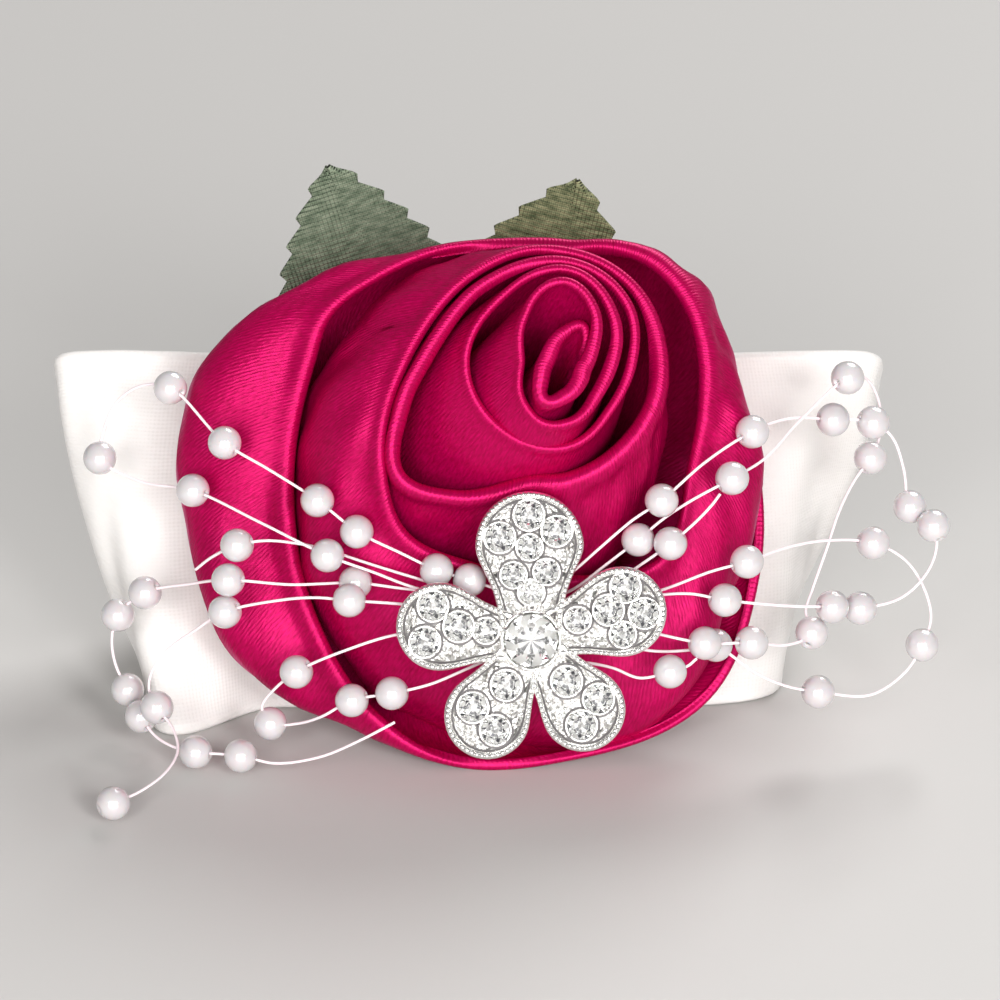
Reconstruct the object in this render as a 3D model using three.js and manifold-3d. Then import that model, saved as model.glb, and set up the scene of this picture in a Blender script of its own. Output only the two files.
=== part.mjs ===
// Wrist corsage: a rolled satin rose with leaves, a stone-set brooch and pearl strands,
// sewn to a wide ribbon wristband that closes at the back with two press studs.
// Millimetres, +Z up. The band stands on its lower edge, and its front leans back.

import * as THREE from 'three';
import { mergeVertices } from 'three/addons/utils/BufferGeometryUtils.js';
import Module from 'manifold-3d';

const wasm = await Module();
wasm.setup();

// Wristband
const PANEL_LEAN = THREE.MathUtils.degToRad(26);
const RIBBON_WIDTH = 40;
const RIBBON_THICKNESS = 1;
const BAND_TOP_WIDTH = 92;
const BAND_TOP_GAP = 8;
const BAND_TOP_END_RISE = 1.6;
const BAND_REAR_DROP = 8;
const BAND_BOTTOM_WIDTH = 69;
const BAND_FRONT_CORNER = 8;
const BAND_BOTTOM_DEPTH = 46;
const BAND_LEFT_CURL = 9;
const BAND_RIGHT_CURL = 0.5;
const CURL_START = 21;
const BAND_STATIONS = [0, 0.35, 0.7, 1];
const SWELL_END = 38;
const LEFT_SIDE_SWELL = 3.2;
const RIGHT_SIDE_SWELL = 2.2;
const FLAP_HINGE_AT = 0.37;
const FLAP_LENGTH = 38;
const TAIL_OVERLAP = 34;
const FLAP_HINGE_GAP = 0.3;
const FLAP_LIFT = 0.4;
const SEAM_GAP = 0.3;

// Press studs
const SNAP_RADIUS = 3.6;
const SNAP_KNOB_RADIUS = 1.4;
const SNAP_KNOB_HEIGHT = 0.7;
const SNAP_BORE_RADIUS = 2.1;
const STUD_PLATE = 0.6;
const SOCKET_PLATE = 0.9;
const SNAP_CLEARANCE = 0.2;
const SNAP_SEAT_GAP = 0.6;
const SNAP_FROM_HINGE = 25;
const SNAP_HEIGHTS = { lower: 0.3, upper: 0.72 };

// Leaves and the felt pad, stacked outwards from the band
const LEAF_THICKNESS = 0.8;
const LEAF_LENGTH = 44;
const LEFT_LEAF_WIDTH = 21;
const RIGHT_LEAF_WIDTH = 23;
const LEAF_TEETH = 16;
const LEAF_TOOTH_DEPTH = 0.9;
const LEFT_LEAF_TIP = [-15.8, 61];
const RIGHT_LEAF_TIP = [12.2, 59.4];
const LEFT_LEAF_TURN = THREE.MathUtils.degToRad(17.5);
const RIGHT_LEAF_TURN = THREE.MathUtils.degToRad(-14.5);
const PAD_RADIUS = 21;
const PAD_THICKNESS = 1.5;

// Rose: the rims of the wraps turn round the eye, their feet round the pad's centre
const PAD_CENTRE = [0.3, 23];
const ROSE_EYE = [10.8, 38.7];
const SATIN_THICKNESS = 0.6;
const RIM_FULLNESS = 1.35;
const FOOT_START_RADIUS = 1.5;
const FOOT_PITCH = 2.6;
// The rim of the spiral, from its eye outwards. Each row: degrees round from the top by the left,
// and there the rim's distance from the eye, its height, and how far the wall bellies out past it.
const ROSE_RIM = [
  { angle: 285, rim: [1.3, 25.6, 0.1] }, { angle: 315, rim: [3.2, 26.6, 0.1] },
  { angle: 335, rim: [4.4, 27, 0.1] }, { angle: 360, rim: [3.6, 27.4, 0.1] },
  { angle: 400, rim: [2.3, 27.7, 0.1] }, { angle: 450, rim: [2.5, 27.8, 0.1] },
  { angle: 485, rim: [3.9, 27.9, 0.1] }, { angle: 510, rim: [5, 27.9, 0.1] },
  { angle: 540, rim: [3.9, 27.9, 0.1] }, { angle: 585, rim: [2.3, 27.8, 0.1] },
  { angle: 630, rim: [2.5, 27.7, 0.1] }, { angle: 665, rim: [4.3, 27.6, 0.1] },
  { angle: 690, rim: [6.4, 27.4, 0.1] }, { angle: 720, rim: [8.8, 27, 0.3] },
  { angle: 765, rim: [6.2, 26.9, 2.5] }, { angle: 810, rim: [4.6, 26.8, 4] },
  { angle: 855, rim: [6.2, 26.6, 3] }, { angle: 880, rim: [6.9, 26.4, 2.4] },
  { angle: 900, rim: [6.4, 26.2, 2] }, { angle: 945, rim: [4.6, 26, 0.6] },
  { angle: 990, rim: [4.9, 25.8, 0.3] }, { angle: 1035, rim: [7.4, 25.6, 0.2] },
  { angle: 1080, rim: [10.2, 25.2, 0.3] },
  { angle: 1125, rim: [9.6, 25, 2.5] }, { angle: 1170, rim: [10.6, 24.8, 3.5] },
  { angle: 1215, rim: [10, 24.6, 3] }, { angle: 1260, rim: [9, 24.4, 1.2] },
  { angle: 1305, rim: [6.8, 24.4, 0.6] }, { angle: 1350, rim: [7.1, 24.4, 0.3] },
  { angle: 1395, rim: [9.4, 24.2, 0.3] }, { angle: 1440, rim: [11.1, 24, 0.3] },
  { angle: 1485, rim: [11.8, 24.2, 2.4] }, { angle: 1530, rim: [15, 24.4, 3] },
  { angle: 1545, rim: [17.9, 24, 2.4] }, { angle: 1565, rim: [21.6, 23, 1.6] },
  { angle: 1580, rim: [18.6, 22.4, 2] }, { angle: 1600, rim: [13.4, 22.2, 4] },
  { angle: 1620, rim: [12.1, 22.6, 6] }, { angle: 1665, rim: [10, 22.8, 5] },
  { angle: 1710, rim: [9.7, 23, 2.2] }, { angle: 1755, rim: [11, 22.6, 1] },
  { angle: 1800, rim: [12.2, 21.8, 0.6] }, { angle: 1845, rim: [13.3, 23.2, 3.6] },
  { angle: 1890, rim: [17, 23.6, 7.2] }, { angle: 1920, rim: [22.7, 22.4, 7.9] },
  { angle: 1936, rim: [25.4, 20, 8.8] }, { angle: 1955, rim: [24.2, 18.5, 9.6] },
  { angle: 1980, rim: [23.4, 17.4, 9.8] }, { angle: 2008, rim: [23.2, 17.4, 10] },
  { angle: 2025, rim: [18.3, 18.3, 10.4] }, { angle: 2050, rim: [15.2, 20, 10] },
  { angle: 2070, rim: [14.3, 20.4, 9] }, { angle: 2090, rim: [14.1, 20.2, 7.6] },
  { angle: 2115, rim: [13.8, 19.6, 6.4] }, { angle: 2160, rim: [12.9, 18.2, 1] },
  { angle: 2205, rim: [17.3, 18.2, 3.5] }, { angle: 2225, rim: [21.9, 17.8, 10] },
  { angle: 2240, rim: [26.3, 17.2, 13.8] }, { angle: 2250, rim: [27.5, 16.8, 14.6] },
  { angle: 2275, rim: [33, 15.2, 13] }, { angle: 2295, rim: [39, 13.8, 10.8] },
  { angle: 2310, rim: [43.4, 13.3, 6] }, { angle: 2325, rim: [45.6, 13.2, 1.5] },
  { angle: 2340, rim: [43.4, 12.6, 0.8] }, { angle: 2365, rim: [39.3, 11, 0.8] },
  { angle: 2382, rim: [31.4, 9.6, 0.8] }, { angle: 2400, rim: [24.5, 8.4, 0.6] },
  { angle: 2425, rim: [18.5, 7, 0.6] },
];
// The degrees at which each length of ribbon starts and ends, and its step.
const BUD = { startAngle: 285, endAngle: 1422, stepAngle: 15 };
const MIDDLE_WRAP = { startAngle: 1425, endAngle: 1873, stepAngle: 6 };
const OUTER_WRAP = { startAngle: 1875, endAngle: 2425, stepAngle: 6 };
const WALL_STATIONS = [0, 0.28, 0.55, 0.8, 0.94, 1];

// Brooch
const BROOCH_CENTRE = [6.9, 8.3];
const BROOCH_BACK = 22.9;
const PLATE_THICKNESS = 1.2;
const RIM_HEIGHT = 0.7;
const RIM_WIDTH = 0.8;
const CUP_RADIUS = 3.5;
const CUP_HEIGHT = 2.2;
const SEAT_DEPTH = 0.5;
const SEAT_CLEARANCE = 0.25;
const STONE_SEAT_GAP = 0.3;
const CENTRE_STONE_RADIUS = 2.85;
const STONE_RADIUS = 1.55;
const ACCENT_RADIUS = 1.3;
// A petal's direction, length, greatest width and neck, and its stones: distance along the
// petal, distance across it, and radius.
const PETALS = {
  top: {
    angle: 91, length: 16.2, width: 11.8, neck: 6.6,
    stones: [
      [13.6, 0, STONE_RADIUS], [11.2, 3.2, STONE_RADIUS], [11.8, -3.0, STONE_RADIUS],
      [10.1, 0, ACCENT_RADIUS], [7.1, 1.8, ACCENT_RADIUS], [7.4, -1.8, ACCENT_RADIUS],
    ],
  },
  right: {
    angle: 17.5, length: 15.2, width: 9.8, neck: 5,
    stones: [
      [12.6, -0.9, STONE_RADIUS], [11.5, 2.4, STONE_RADIUS], [9.7, -2.4, ACCENT_RADIUS],
      [9.0, 0.6, STONE_RADIUS], [5.5, 0.6, ACCENT_RADIUS],
    ],
  },
  left: {
    angle: 171.5, length: 14.8, width: 9.6, neck: 5,
    stones: [
      [11.4, 1.9, STONE_RADIUS], [11.1, -2.1, STONE_RADIUS], [8.0, -0.3, STONE_RADIUS],
      [5.0, -0.3, ACCENT_RADIUS],
    ],
  },
  lower_left: {
    angle: 240, length: 14.2, width: 9.4, neck: 5,
    stones: [
      [5.6, 0.1, STONE_RADIUS], [10.4, 1.5, STONE_RADIUS], [9.5, -1.8, STONE_RADIUS],
    ],
  },
  lower_right: {
    angle: 307, length: 14, width: 9.2, neck: 5,
    stones: [
      [5.9, 0.4, STONE_RADIUS], [9.5, 2.0, STONE_RADIUS], [10.7, -1.2, STONE_RADIUS],
    ],
  },
};

// Pearl strands: each route is chosen by hand on the face of the corsage, as distance right,
// distance up the face and height above it. A point marked PEARL carries a bead.
const THREAD_RADIUS = 0.3;
const PEARL_RADIUS = 1.85;
const THREAD_STEP = 6;
const PEARL = true;
const STRAND_ROUTES = {
  left_upper: [
    [4.1, 13.5, 20.5], [0.2, 14.8, 20.7, PEARL], [-3.4, 15.9, 21.1, PEARL], [-7.4, 17.8, 21.5],
    [-10.4, 19.2, 22.0], [-12.1, 20.1, 22.0, PEARL], [-16.4, 23.5, 22.0, PEARL],
    [-21.6, 26.8, 20.8], [-26.6, 29.8, 19.5, PEARL], [-32.8, 35.9, 14.0, PEARL],
    [-36.3, 36.1, 11.5], [-39.1, 34.1, 10.0], [-40.5, 30.7, 9.5], [-40.8, 28.2, 9.5, PEARL],
    [-36.2, 25.6, 12.0], [-30.2, 24.6, 16.5, PEARL], [-22.7, 21.1, 20.5],
    [-15.3, 17.5, 22.5, PEARL], [-10.1, 15.6, 22.0], [-6.8, 14.3, 21.2], [-3.0, 13.1, 20.8],
  ],
  left_outer: [
    [0.2, 12.6, 20.2], [-4.1, 13.5, 20.0], [-7.4, 13.9, 20.0], [-12.3, 14.5, 19.8, PEARL],
    [-15.6, 14.4, 19.6], [-19.4, 14.3, 20.4], [-26.2, 14.8, 19.8, PEARL], [-30.6, 14.3, 15.5],
    [-35.7, 13.3, 11.5, PEARL], [-38.8, 10.8, 10.0, PEARL], [-39.5, 8.0, 9.0], [-39.1, 5.2, 8.3],
    [-37.8, 2.5, 8.0, PEARL], [-36.2, -0.4, 10.0, PEARL], [-34.7, -2.4, 11.5],
    [-32.7, -3.6, 12.8], [-30.0, -4.2, 14.2, PEARL], [-25.0, -4.6, 15.0, PEARL],
    [-21.2, -5.4, 15.6], [-16.3, -4.7, 16.0], [-11.8, -2.8, 17.5], [-8.0, -0.8, 18.5],
  ],
  left_trailing: [
    [0.2, 11.0, 20.6], [-4.1, 11.8, 21.0], [-7.4, 12.2, 21.6], [-12.9, 12.6, 22.8, PEARL],
    [-16.6, 12.9, 22.0], [-20.5, 12.6, 20.8], [-26.6, 11.3, 18.2, PEARL], [-30.0, 9.2, 15.5],
    [-33.1, 7.0, 13.2], [-34.9, 4.6, 12.4], [-35.2, 2.6, 12.6], [-34.3, 0.7, 13.4, PEARL],
    [-32.5, -1.5, 15.5], [-31.8, -3.9, 18.0], [-33.0, -6.2, 21.0], [-35.7, -8.2, 23.5],
    [-38.5, -9.4, 24.6, PEARL],
  ],
  left_lower: [
    [1.3, 8.2, 20.6], [-3.0, 8.9, 20.8], [-7.4, 8.9, 21.0], [-13.4, 7.1, 20.2],
    [-18.8, 4.7, 17.5, PEARL], [-21.6, 2.4, 15.2], [-22.7, 0.7, 13.8],
    [-21.8, -1.1, 13.0, PEARL], [-19.0, -1.1, 14.5], [-16.0, -0.2, 17.0],
    [-12.7, 1.6, 18.5, PEARL], [-8.3, 2.4, 19.5, PEARL], [-4.1, 3.4, 19.8], [-0.3, 5.0, 20.3],
    [3.0, 6.5, 20.6],
  ],
  left_short: [
    [0.2, 12.9, 18.6], [-4.1, 14.5, 19.4], [-8.0, 15.7, 19.7], [-11.8, 16.9, 19.7],
    [-15.4, 18.1, 19.6], [-18.7, 18.8, 19.8], [-22.1, 19.1, 20.5], [-25.2, 18.6, 20.6, PEARL],
    [-28.0, 17.3, 18.5], [-29.9, 15.9, 16.5],
  ],
  right_upper: [
    [8.4, 13.5, 20.6], [11.2, 15.5, 21.0], [14.4, 18.3, 21.8], [17.9, 21.3, 22.6],
    [21.1, 23.5, 23.8, PEARL], [25.8, 27.6, 23.0], [31.1, 31.0, 20.1, PEARL], [35.4, 32.5, 16.5],
    [40.2, 32.4, 14.0, PEARL], [44.7, 32.1, 12.5, PEARL], [46.9, 30.4, 11.5], [48.2, 26.9, 10.4],
    [48.9, 22.8, 10.0, PEARL], [51.4, 20.7, 11.9, PEARL], [51.7, 18.2, 12.2], [50.5, 15.3, 12.5],
    [47.7, 12.7, 12.4], [43.3, 11.6, 12.2, PEARL], [40.1, 11.8, 14.4, PEARL], [35.3, 11.9, 17.0],
    [28.1, 12.6, 20.0, PEARL], [24.3, 13.3, 20.8], [20.4, 13.1, 21.0], [16.1, 12.3, 20.8],
  ],
  right_middle: [
    [8.8, 12.6, 19.9], [11.7, 13.9, 20.2], [15.0, 16.4, 20.4], [18.6, 19.2, 20.8, PEARL],
    [21.5, 21.6, 21.6], [24.4, 23.5, 22.6], [28.8, 25.9, 23.0, PEARL], [32.5, 28.1, 20.5],
    [36.5, 32.3, 16.5], [41.8, 37.0, 14.0, PEARL], [44.2, 36.8, 10.8], [45.6, 34.1, 9.0],
    [45.6, 30.7, 9.3], [44.5, 28.2, 10.5, PEARL], [42.7, 25.7, 11.5], [41.0, 22.4, 12.5],
    [39.5, 18.0, 13.0], [38.0, 13.6, 12.0], [37.3, 11.2, 11.9], [37.9, 8.9, 12.8, PEARL],
    [35.2, 7.6, 15.0], [31.1, 7.9, 18.0, PEARL], [25.9, 7.9, 20.2, PEARL], [20.4, 9.0, 20.6],
    [16.6, 9.9, 20.4],
  ],
  right_outer: [
    [13.4, 11.5, 19.6], [17.7, 12.6, 19.5], [22.1, 14.0, 19.6], [26.5, 15.7, 20.2],
    [30.5, 16.8, 20.4, PEARL], [35.3, 18.4, 17.0], [39.8, 19.1, 14.5], [44.7, 18.8, 12.5, PEARL],
    [48.3, 16.9, 11.5], [50.4, 13.8, 10.8], [51.2, 10.5, 10.5], [50.2, 7.5, 10.8, PEARL],
    [48.3, 4.5, 11.2], [44.4, 2.0, 11.8], [38.6, 2.4, 13.0, PEARL], [34.9, 3.1, 14.5],
    [31.5, 4.6, 15.6], [29.3, 6.2, 16.0], [27.2, 7.6, 16.4, PEARL], [24.4, 7.1, 17.5],
    [20.5, 7.0, 19.0], [16.6, 7.7, 19.6],
  ],
  right_short: [
    [-1.4, 9.5, 19.3], [3.5, 10.4, 19.2], [8.8, 11.5, 19.2], [12.3, 12.6, 19.4],
    [15.5, 14.2, 19.8], [18.8, 16.4, 20.4], [22.1, 18.8, 22.4, PEARL], [24.8, 21.1, 22.4],
    [26.6, 23.0, 22.8],
  ],
  right_lower: [
    [-5.2, 7.1, 19.8], [-0.3, 6.4, 19.5], [3.5, 6.0, 19.4], [7.9, 5.6, 19.5], [12.3, 5.8, 19.8],
    [15.8, 5.2, 20.3], [18.8, 4.1, 20.6], [22.1, 4.8, 20.6, PEARL], [24.5, 5.8, 20.2],
    [26.3, 5.2, 19.8],
  ],
};

const MATERIALS = {
  satin: { color: 0xb4044f, roughness: 0.4, metalness: 0 },
  ribbon: { color: 0xf2ece8, roughness: 0.55, metalness: 0 },
  leaf: { color: 0x4c5f4c, roughness: 0.85, metalness: 0 },
  felt: { color: 0x8a0a3f, roughness: 0.95, metalness: 0 },
  silver: { color: 0xd8d8d6, roughness: 0.25, metalness: 1 },
  stone: { color: 0xf4f6f8, roughness: 0.05, metalness: 0 },
  pearl: { color: 0xf3e8ea, roughness: 0.25, metalness: 0 },
};

function part(name, geometry, finish) {
  const mesh = new THREE.Mesh(geometry, new THREE.MeshStandardMaterial(MATERIALS[finish]));
  mesh.name = name;
  return mesh;
}

function toSolid(geometry) {
  const bare = geometry.clone();
  bare.deleteAttribute('normal');
  bare.deleteAttribute('uv');
  const merged = mergeVertices(bare, 1e-4);
  return new wasm.Manifold(new wasm.Mesh({
    numProp: 3,
    vertProperties: new Float32Array(merged.attributes.position.array),
    triVerts: new Uint32Array(merged.index.array),
  }));
}

function toGeometry(solid) {
  const mesh = solid.getMesh();
  const geometry = new THREE.BufferGeometry();
  geometry.setAttribute('position', new THREE.BufferAttribute(new Float32Array(mesh.vertProperties), 3));
  geometry.setIndex(new THREE.BufferAttribute(new Uint32Array(mesh.triVerts), 1));
  geometry.computeVertexNormals();
  return geometry;
}

// A bent wall: each station holds its outer points from foot to rim and the inner points
// across from them. Stations are joined in order and the two ends are closed.
function wallSolid(stations) {
  const height = stations[0].outer.length;
  const around = 2 * height;
  const positions = [];
  for (const { outer, inner } of stations) {
    for (const point of [...outer, ...[...inner].reverse()]) {
      positions.push(point.x, point.y, point.z);
    }
  }
  const index = [];
  const quad = (a, b, c, d) => index.push(a, b, c, a, c, d);
  for (let i = 0; i + 1 < stations.length; i += 1) {
    for (let j = 0; j < around; j += 1) {
      const k = (j + 1) % around;
      quad(i * around + j, (i + 1) * around + j, (i + 1) * around + k, i * around + k);
    }
  }
  const last = (stations.length - 1) * around;
  for (let j = 0; j + 1 < height; j += 1) {
    const across = around - 1 - j;
    quad(j, j + 1, across - 1, across);
    quad(last + across, last + across - 1, last + j + 1, last + j);
  }
  const geometry = new THREE.BufferGeometry();
  geometry.setAttribute('position', new THREE.Float32BufferAttribute(positions, 3));
  geometry.setIndex(index);
  geometry.computeVertexNormals();
  return geometry;
}

// Wristband

// A closed loop seen from above, from its front centre round by the right: squarish in
// front and round at the back.
function bandLoop(halfWidth, frontDepth, rearDepth, rearPower) {
  const power = (value, squareness) => Math.sign(value) * Math.abs(value) ** (2 / squareness);
  const frontPower = 5;
  const count = 96;
  const points = [];
  for (let i = 0; i < count; i += 1) {
    const angle = (i / count) * 2 * Math.PI;
    const front = Math.cos(angle) > 0;
    const squareness = front ? frontPower : rearPower;
    const x = halfWidth * power(Math.sin(angle), squareness);
    const depth = front ? frontDepth : rearDepth;
    points.push(new THREE.Vector3(x, frontDepth - depth * power(Math.cos(angle), squareness), 0));
  }
  return points;
}

function curl(x) {
  const reach = BAND_BOTTOM_WIDTH / 2;
  const left = THREE.MathUtils.smoothstep(-x, CURL_START, reach);
  const right = THREE.MathUtils.smoothstep(x, CURL_START, reach);
  return BAND_RIGHT_CURL * right - BAND_LEFT_CURL * left;
}

function loopCurve(points) {
  const curve = new THREE.CatmullRomCurve3(points, true);
  curve.arcLengthDivisions = 800;
  return curve;
}

const bandBottom = loopCurve(
  bandLoop(BAND_BOTTOM_WIDTH / 2, BAND_FRONT_CORNER, BAND_BOTTOM_DEPTH - BAND_FRONT_CORNER, 2.2)
    .map((point) => point.setY(point.y + curl(point.x))),
);

const bandTop = loopCurve(
  bandLoop(BAND_TOP_WIDTH / 2, BAND_TOP_GAP / 2, BAND_TOP_GAP / 2, 5).map((point) => {
    const rise = BAND_TOP_END_RISE * ((2 * point.x) / BAND_TOP_WIDTH) ** 2;
    const slant = RIBBON_WIDTH - BAND_TOP_END_RISE / 2 + rise;
    const drop = BAND_REAR_DROP * (point.y / BAND_TOP_GAP);
    return new THREE.Vector3(
      point.x,
      point.y + RIBBON_WIDTH * Math.sin(PANEL_LEAN),
      slant * Math.cos(PANEL_LEAN) - drop,
    );
  }),
);

const bandLength = bandBottom.getLength();

// How far the soft sides of the band swell out, half way up it.
function sideSwell(x) {
  const left = THREE.MathUtils.smoothstep(-x, CURL_START, SWELL_END);
  const right = THREE.MathUtils.smoothstep(x, CURL_START, SWELL_END);
  return RIGHT_SIDE_SWELL * right - LEFT_SIDE_SWELL * left;
}

// A point of the band's middle surface, part of the way round from the front centre, and
// part of the way up from the lower edge.
function bandPoint(around, up) {
  const share = THREE.MathUtils.euclideanModulo(around, 1);
  const point = bandBottom.getPointAt(share).lerp(bandTop.getPointAt(share), up);
  return point.setX(point.x + sideSwell(point.x) * Math.sin(Math.PI * up) ** 0.8);
}

function bandNormal(around, up) {
  const step = 0.002;
  const along = bandPoint(around + step, up).sub(bandPoint(around - step, up));
  const rise = bandPoint(around, 1).sub(bandPoint(around, 0));
  return along.cross(rise).normalize();
}

// The lower edge is cut level, so its points move out flat; the upper ones move out square.
function bandOffset(around, up, offset, lowest) {
  const normal = bandNormal(around, up);
  const point = bandPoint(around, up);
  if (up > 0) {
    return point.addScaledVector(normal, offset);
  }
  const flat = new THREE.Vector3(normal.x, normal.y, 0);
  const reach = offset / flat.length();
  return point.addScaledVector(flat.normalize(), reach).setZ(lowest);
}

function bandStrip(from, to, steps, offsetAt, lowest) {
  const half = RIBBON_THICKNESS / 2;
  const stations = [];
  for (let i = 0; i <= steps; i += 1) {
    const around = from + ((to - from) * i) / steps;
    const middle = offsetAt(around);
    const side = (offset) => BAND_STATIONS.map((up) => bandOffset(around, up, offset, lowest));
    stations.push({ outer: side(middle + half), inner: side(middle - half) });
  }
  return wallSolid(stations);
}

const snapStack = STUD_PLATE + SNAP_CLEARANCE + SOCKET_PLATE;
const flapOffset = RIBBON_THICKNESS + SEAM_GAP + snapStack + SNAP_SEAT_GAP;
const flapEnd = FLAP_HINGE_AT + FLAP_LENGTH / bandLength;
const tailEnd = flapEnd - TAIL_OVERLAP / bandLength - 1;

function wristband() {
  const sideFold = 0.27;
  const offsetAt = (around) => flapOffset * THREE.MathUtils.smoothstep(around, sideFold, FLAP_HINGE_AT);
  return part('wristband', bandStrip(tailEnd, FLAP_HINGE_AT, 52, offsetAt, 0), 'ribbon');
}

function bandFlap() {
  const start = FLAP_HINGE_AT + FLAP_HINGE_GAP / bandLength;
  return part('band_flap', bandStrip(start, flapEnd, 10, () => flapOffset, FLAP_LIFT), 'ribbon');
}

function lathed(profile, segments) {
  const geometry = new THREE.LatheGeometry(profile.map(([r, z]) => new THREE.Vector2(r, z)), segments);
  return geometry.rotateX(Math.PI / 2);
}

function onBand(mesh, around, up, offset) {
  const normal = bandNormal(around, up);
  mesh.position.copy(bandPoint(around, up)).addScaledVector(normal, offset);
  mesh.quaternion.setFromUnitVectors(new THREE.Vector3(0, 0, 1), normal);
  return mesh;
}

function pressStuds() {
  const segments = 16;
  const around = FLAP_HINGE_AT + SNAP_FROM_HINGE / bandLength;
  const studFoot = RIBBON_THICKNESS / 2 + SEAM_GAP;
  const socketFoot = studFoot + STUD_PLATE + SNAP_CLEARANCE;
  const knobTop = STUD_PLATE + SNAP_KNOB_HEIGHT;
  const meshes = [];
  for (const [place, up] of Object.entries(SNAP_HEIGHTS)) {
    const stud = lathed([
      [0, 0], [SNAP_RADIUS, 0], [SNAP_RADIUS, STUD_PLATE], [SNAP_KNOB_RADIUS, STUD_PLATE],
      [SNAP_KNOB_RADIUS, knobTop], [0, knobTop],
    ], segments);
    const socket = lathed([
      [SNAP_BORE_RADIUS, 0], [SNAP_RADIUS, 0], [SNAP_RADIUS, SOCKET_PLATE],
      [SNAP_BORE_RADIUS, SOCKET_PLATE], [SNAP_BORE_RADIUS, 0],
    ], segments);
    meshes.push(onBand(part(`snap_stud_${place}`, stud, 'silver'), around, up, studFoot));
    meshes.push(onBand(part(`snap_socket_${place}`, socket, 'silver'), around, up, socketFoot));
  }
  return meshes;
}

// Face of the corsage: x right, y up the face, z out of it

// Half of a pinked leaf's edge, from its foot to its tip: each tooth points to the tip.
function leafEdge(width) {
  const edge = [];
  const halfWidth = (fromTip) => (width / 2) * Math.sin(Math.PI * (fromTip / LEAF_LENGTH) ** 0.9);
  const pitch = LEAF_LENGTH / LEAF_TEETH;
  for (let i = LEAF_TEETH - 1; i > 0; i -= 1) {
    const fromTip = i * pitch;
    edge.push([fromTip, halfWidth(fromTip)]);
    edge.push([fromTip - 0.35 * pitch, halfWidth(fromTip - 0.35 * pitch) + LEAF_TOOTH_DEPTH]);
  }
  return edge;
}

function leaf(name, width, tip, turn, height) {
  const edge = leafEdge(width);
  const shape = new THREE.Shape();
  shape.moveTo(0, -LEAF_LENGTH);
  edge.forEach(([fromTip, side]) => shape.lineTo(side, -fromTip));
  shape.lineTo(0, 0);
  [...edge].reverse().forEach(([fromTip, side]) => shape.lineTo(-side, -fromTip));
  const geometry = new THREE.ExtrudeGeometry(shape, { depth: LEAF_THICKNESS, bevelEnabled: false });
  const mesh = part(name, geometry, 'leaf');
  mesh.position.set(tip[0], tip[1], height);
  mesh.rotation.z = turn;
  return mesh;
}

const leftLeafFoot = SEAM_GAP;
const rightLeafFoot = leftLeafFoot + LEAF_THICKNESS + SEAM_GAP;
const padFoot = rightLeafFoot + LEAF_THICKNESS + SEAM_GAP;
const roseFoot = padFoot + PAD_THICKNESS + SEAM_GAP + SATIN_THICKNESS / 2;

function feltPad() {
  const segments = 32;
  const geometry = new THREE.CylinderGeometry(PAD_RADIUS, PAD_RADIUS, PAD_THICKNESS, segments);
  geometry.rotateX(Math.PI / 2);
  const mesh = part('felt_pad', geometry, 'felt');
  mesh.position.set(PAD_CENTRE[0], PAD_CENTRE[1], padFoot + PAD_THICKNESS / 2);
  return mesh;
}

// Rose

// How fast a value of the rim changes at one of its rows, from the rows before and after it.
function rimSlope(row, value) {
  const span = (i) => ROSE_RIM[i + 1].angle - ROSE_RIM[i].angle;
  const slope = (i) => (ROSE_RIM[i + 1].rim[value] - ROSE_RIM[i].rim[value]) / span(i);
  const last = ROSE_RIM.length - 1;
  if (row === 0 || row === last) {
    return slope(row === 0 ? 0 : last - 1);
  }
  return (span(row - 1) * slope(row) + span(row) * slope(row - 1)) / (span(row - 1) + span(row));
}

// Smooth values between the rim's rows: the rim's radius, height and belly.
function roseRim(degrees) {
  const at = THREE.MathUtils.clamp(degrees, ROSE_RIM[0].angle, ROSE_RIM.at(-1).angle);
  const next = Math.max(1, ROSE_RIM.findIndex((row) => row.angle >= at));
  const before = ROSE_RIM[next - 1];
  const after = ROSE_RIM[next];
  const span = after.angle - before.angle;
  const t = (at - before.angle) / span;
  return before.rim.map((low, value) => {
    const rise = after.rim[value] - low;
    const start = rimSlope(next - 1, value) * span;
    const end = rimSlope(next, value) * span;
    return low + t * start + t ** 2 * (3 * rise - 2 * start - end) + t ** 3 * (start + end - 2 * rise);
  });
}

// A point of the satin's middle surface: degrees round the spiral, and part of the way up
// the wall from its foot on the pad, round its belly, to its rim.
function rosePoint(degrees, up) {
  const [radius, height, belly] = roseRim(degrees);
  const angle = THREE.MathUtils.degToRad(90 + degrees);
  const out = new THREE.Vector3(Math.cos(angle), Math.sin(angle), 0);
  const footRadius = FOOT_START_RADIUS + (FOOT_PITCH * degrees) / 360;
  const foot = new THREE.Vector3(PAD_CENTRE[0], PAD_CENTRE[1], roseFoot).addScaledVector(out, footRadius);
  const rim = new THREE.Vector3(ROSE_EYE[0], ROSE_EYE[1], height).addScaledVector(out, radius);
  const swell = belly / 0.75;
  const low = foot.clone().lerp(rim, 0.25).addScaledVector(out, swell);
  const high = foot.clone().lerp(rim, 0.85).addScaledVector(out, swell);
  return new THREE.CubicBezierCurve3(foot, low, high, rim).getPoint(up);
}

function roseNormal(degrees, up) {
  const turn = 1.5;
  const step = 0.004;
  const along = rosePoint(degrees + turn, up).sub(rosePoint(degrees - turn, up));
  const rise = rosePoint(degrees, Math.min(up + step, 1)).sub(rosePoint(degrees, Math.max(up - step, 0)));
  return rise.cross(along).normalize();
}

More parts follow.
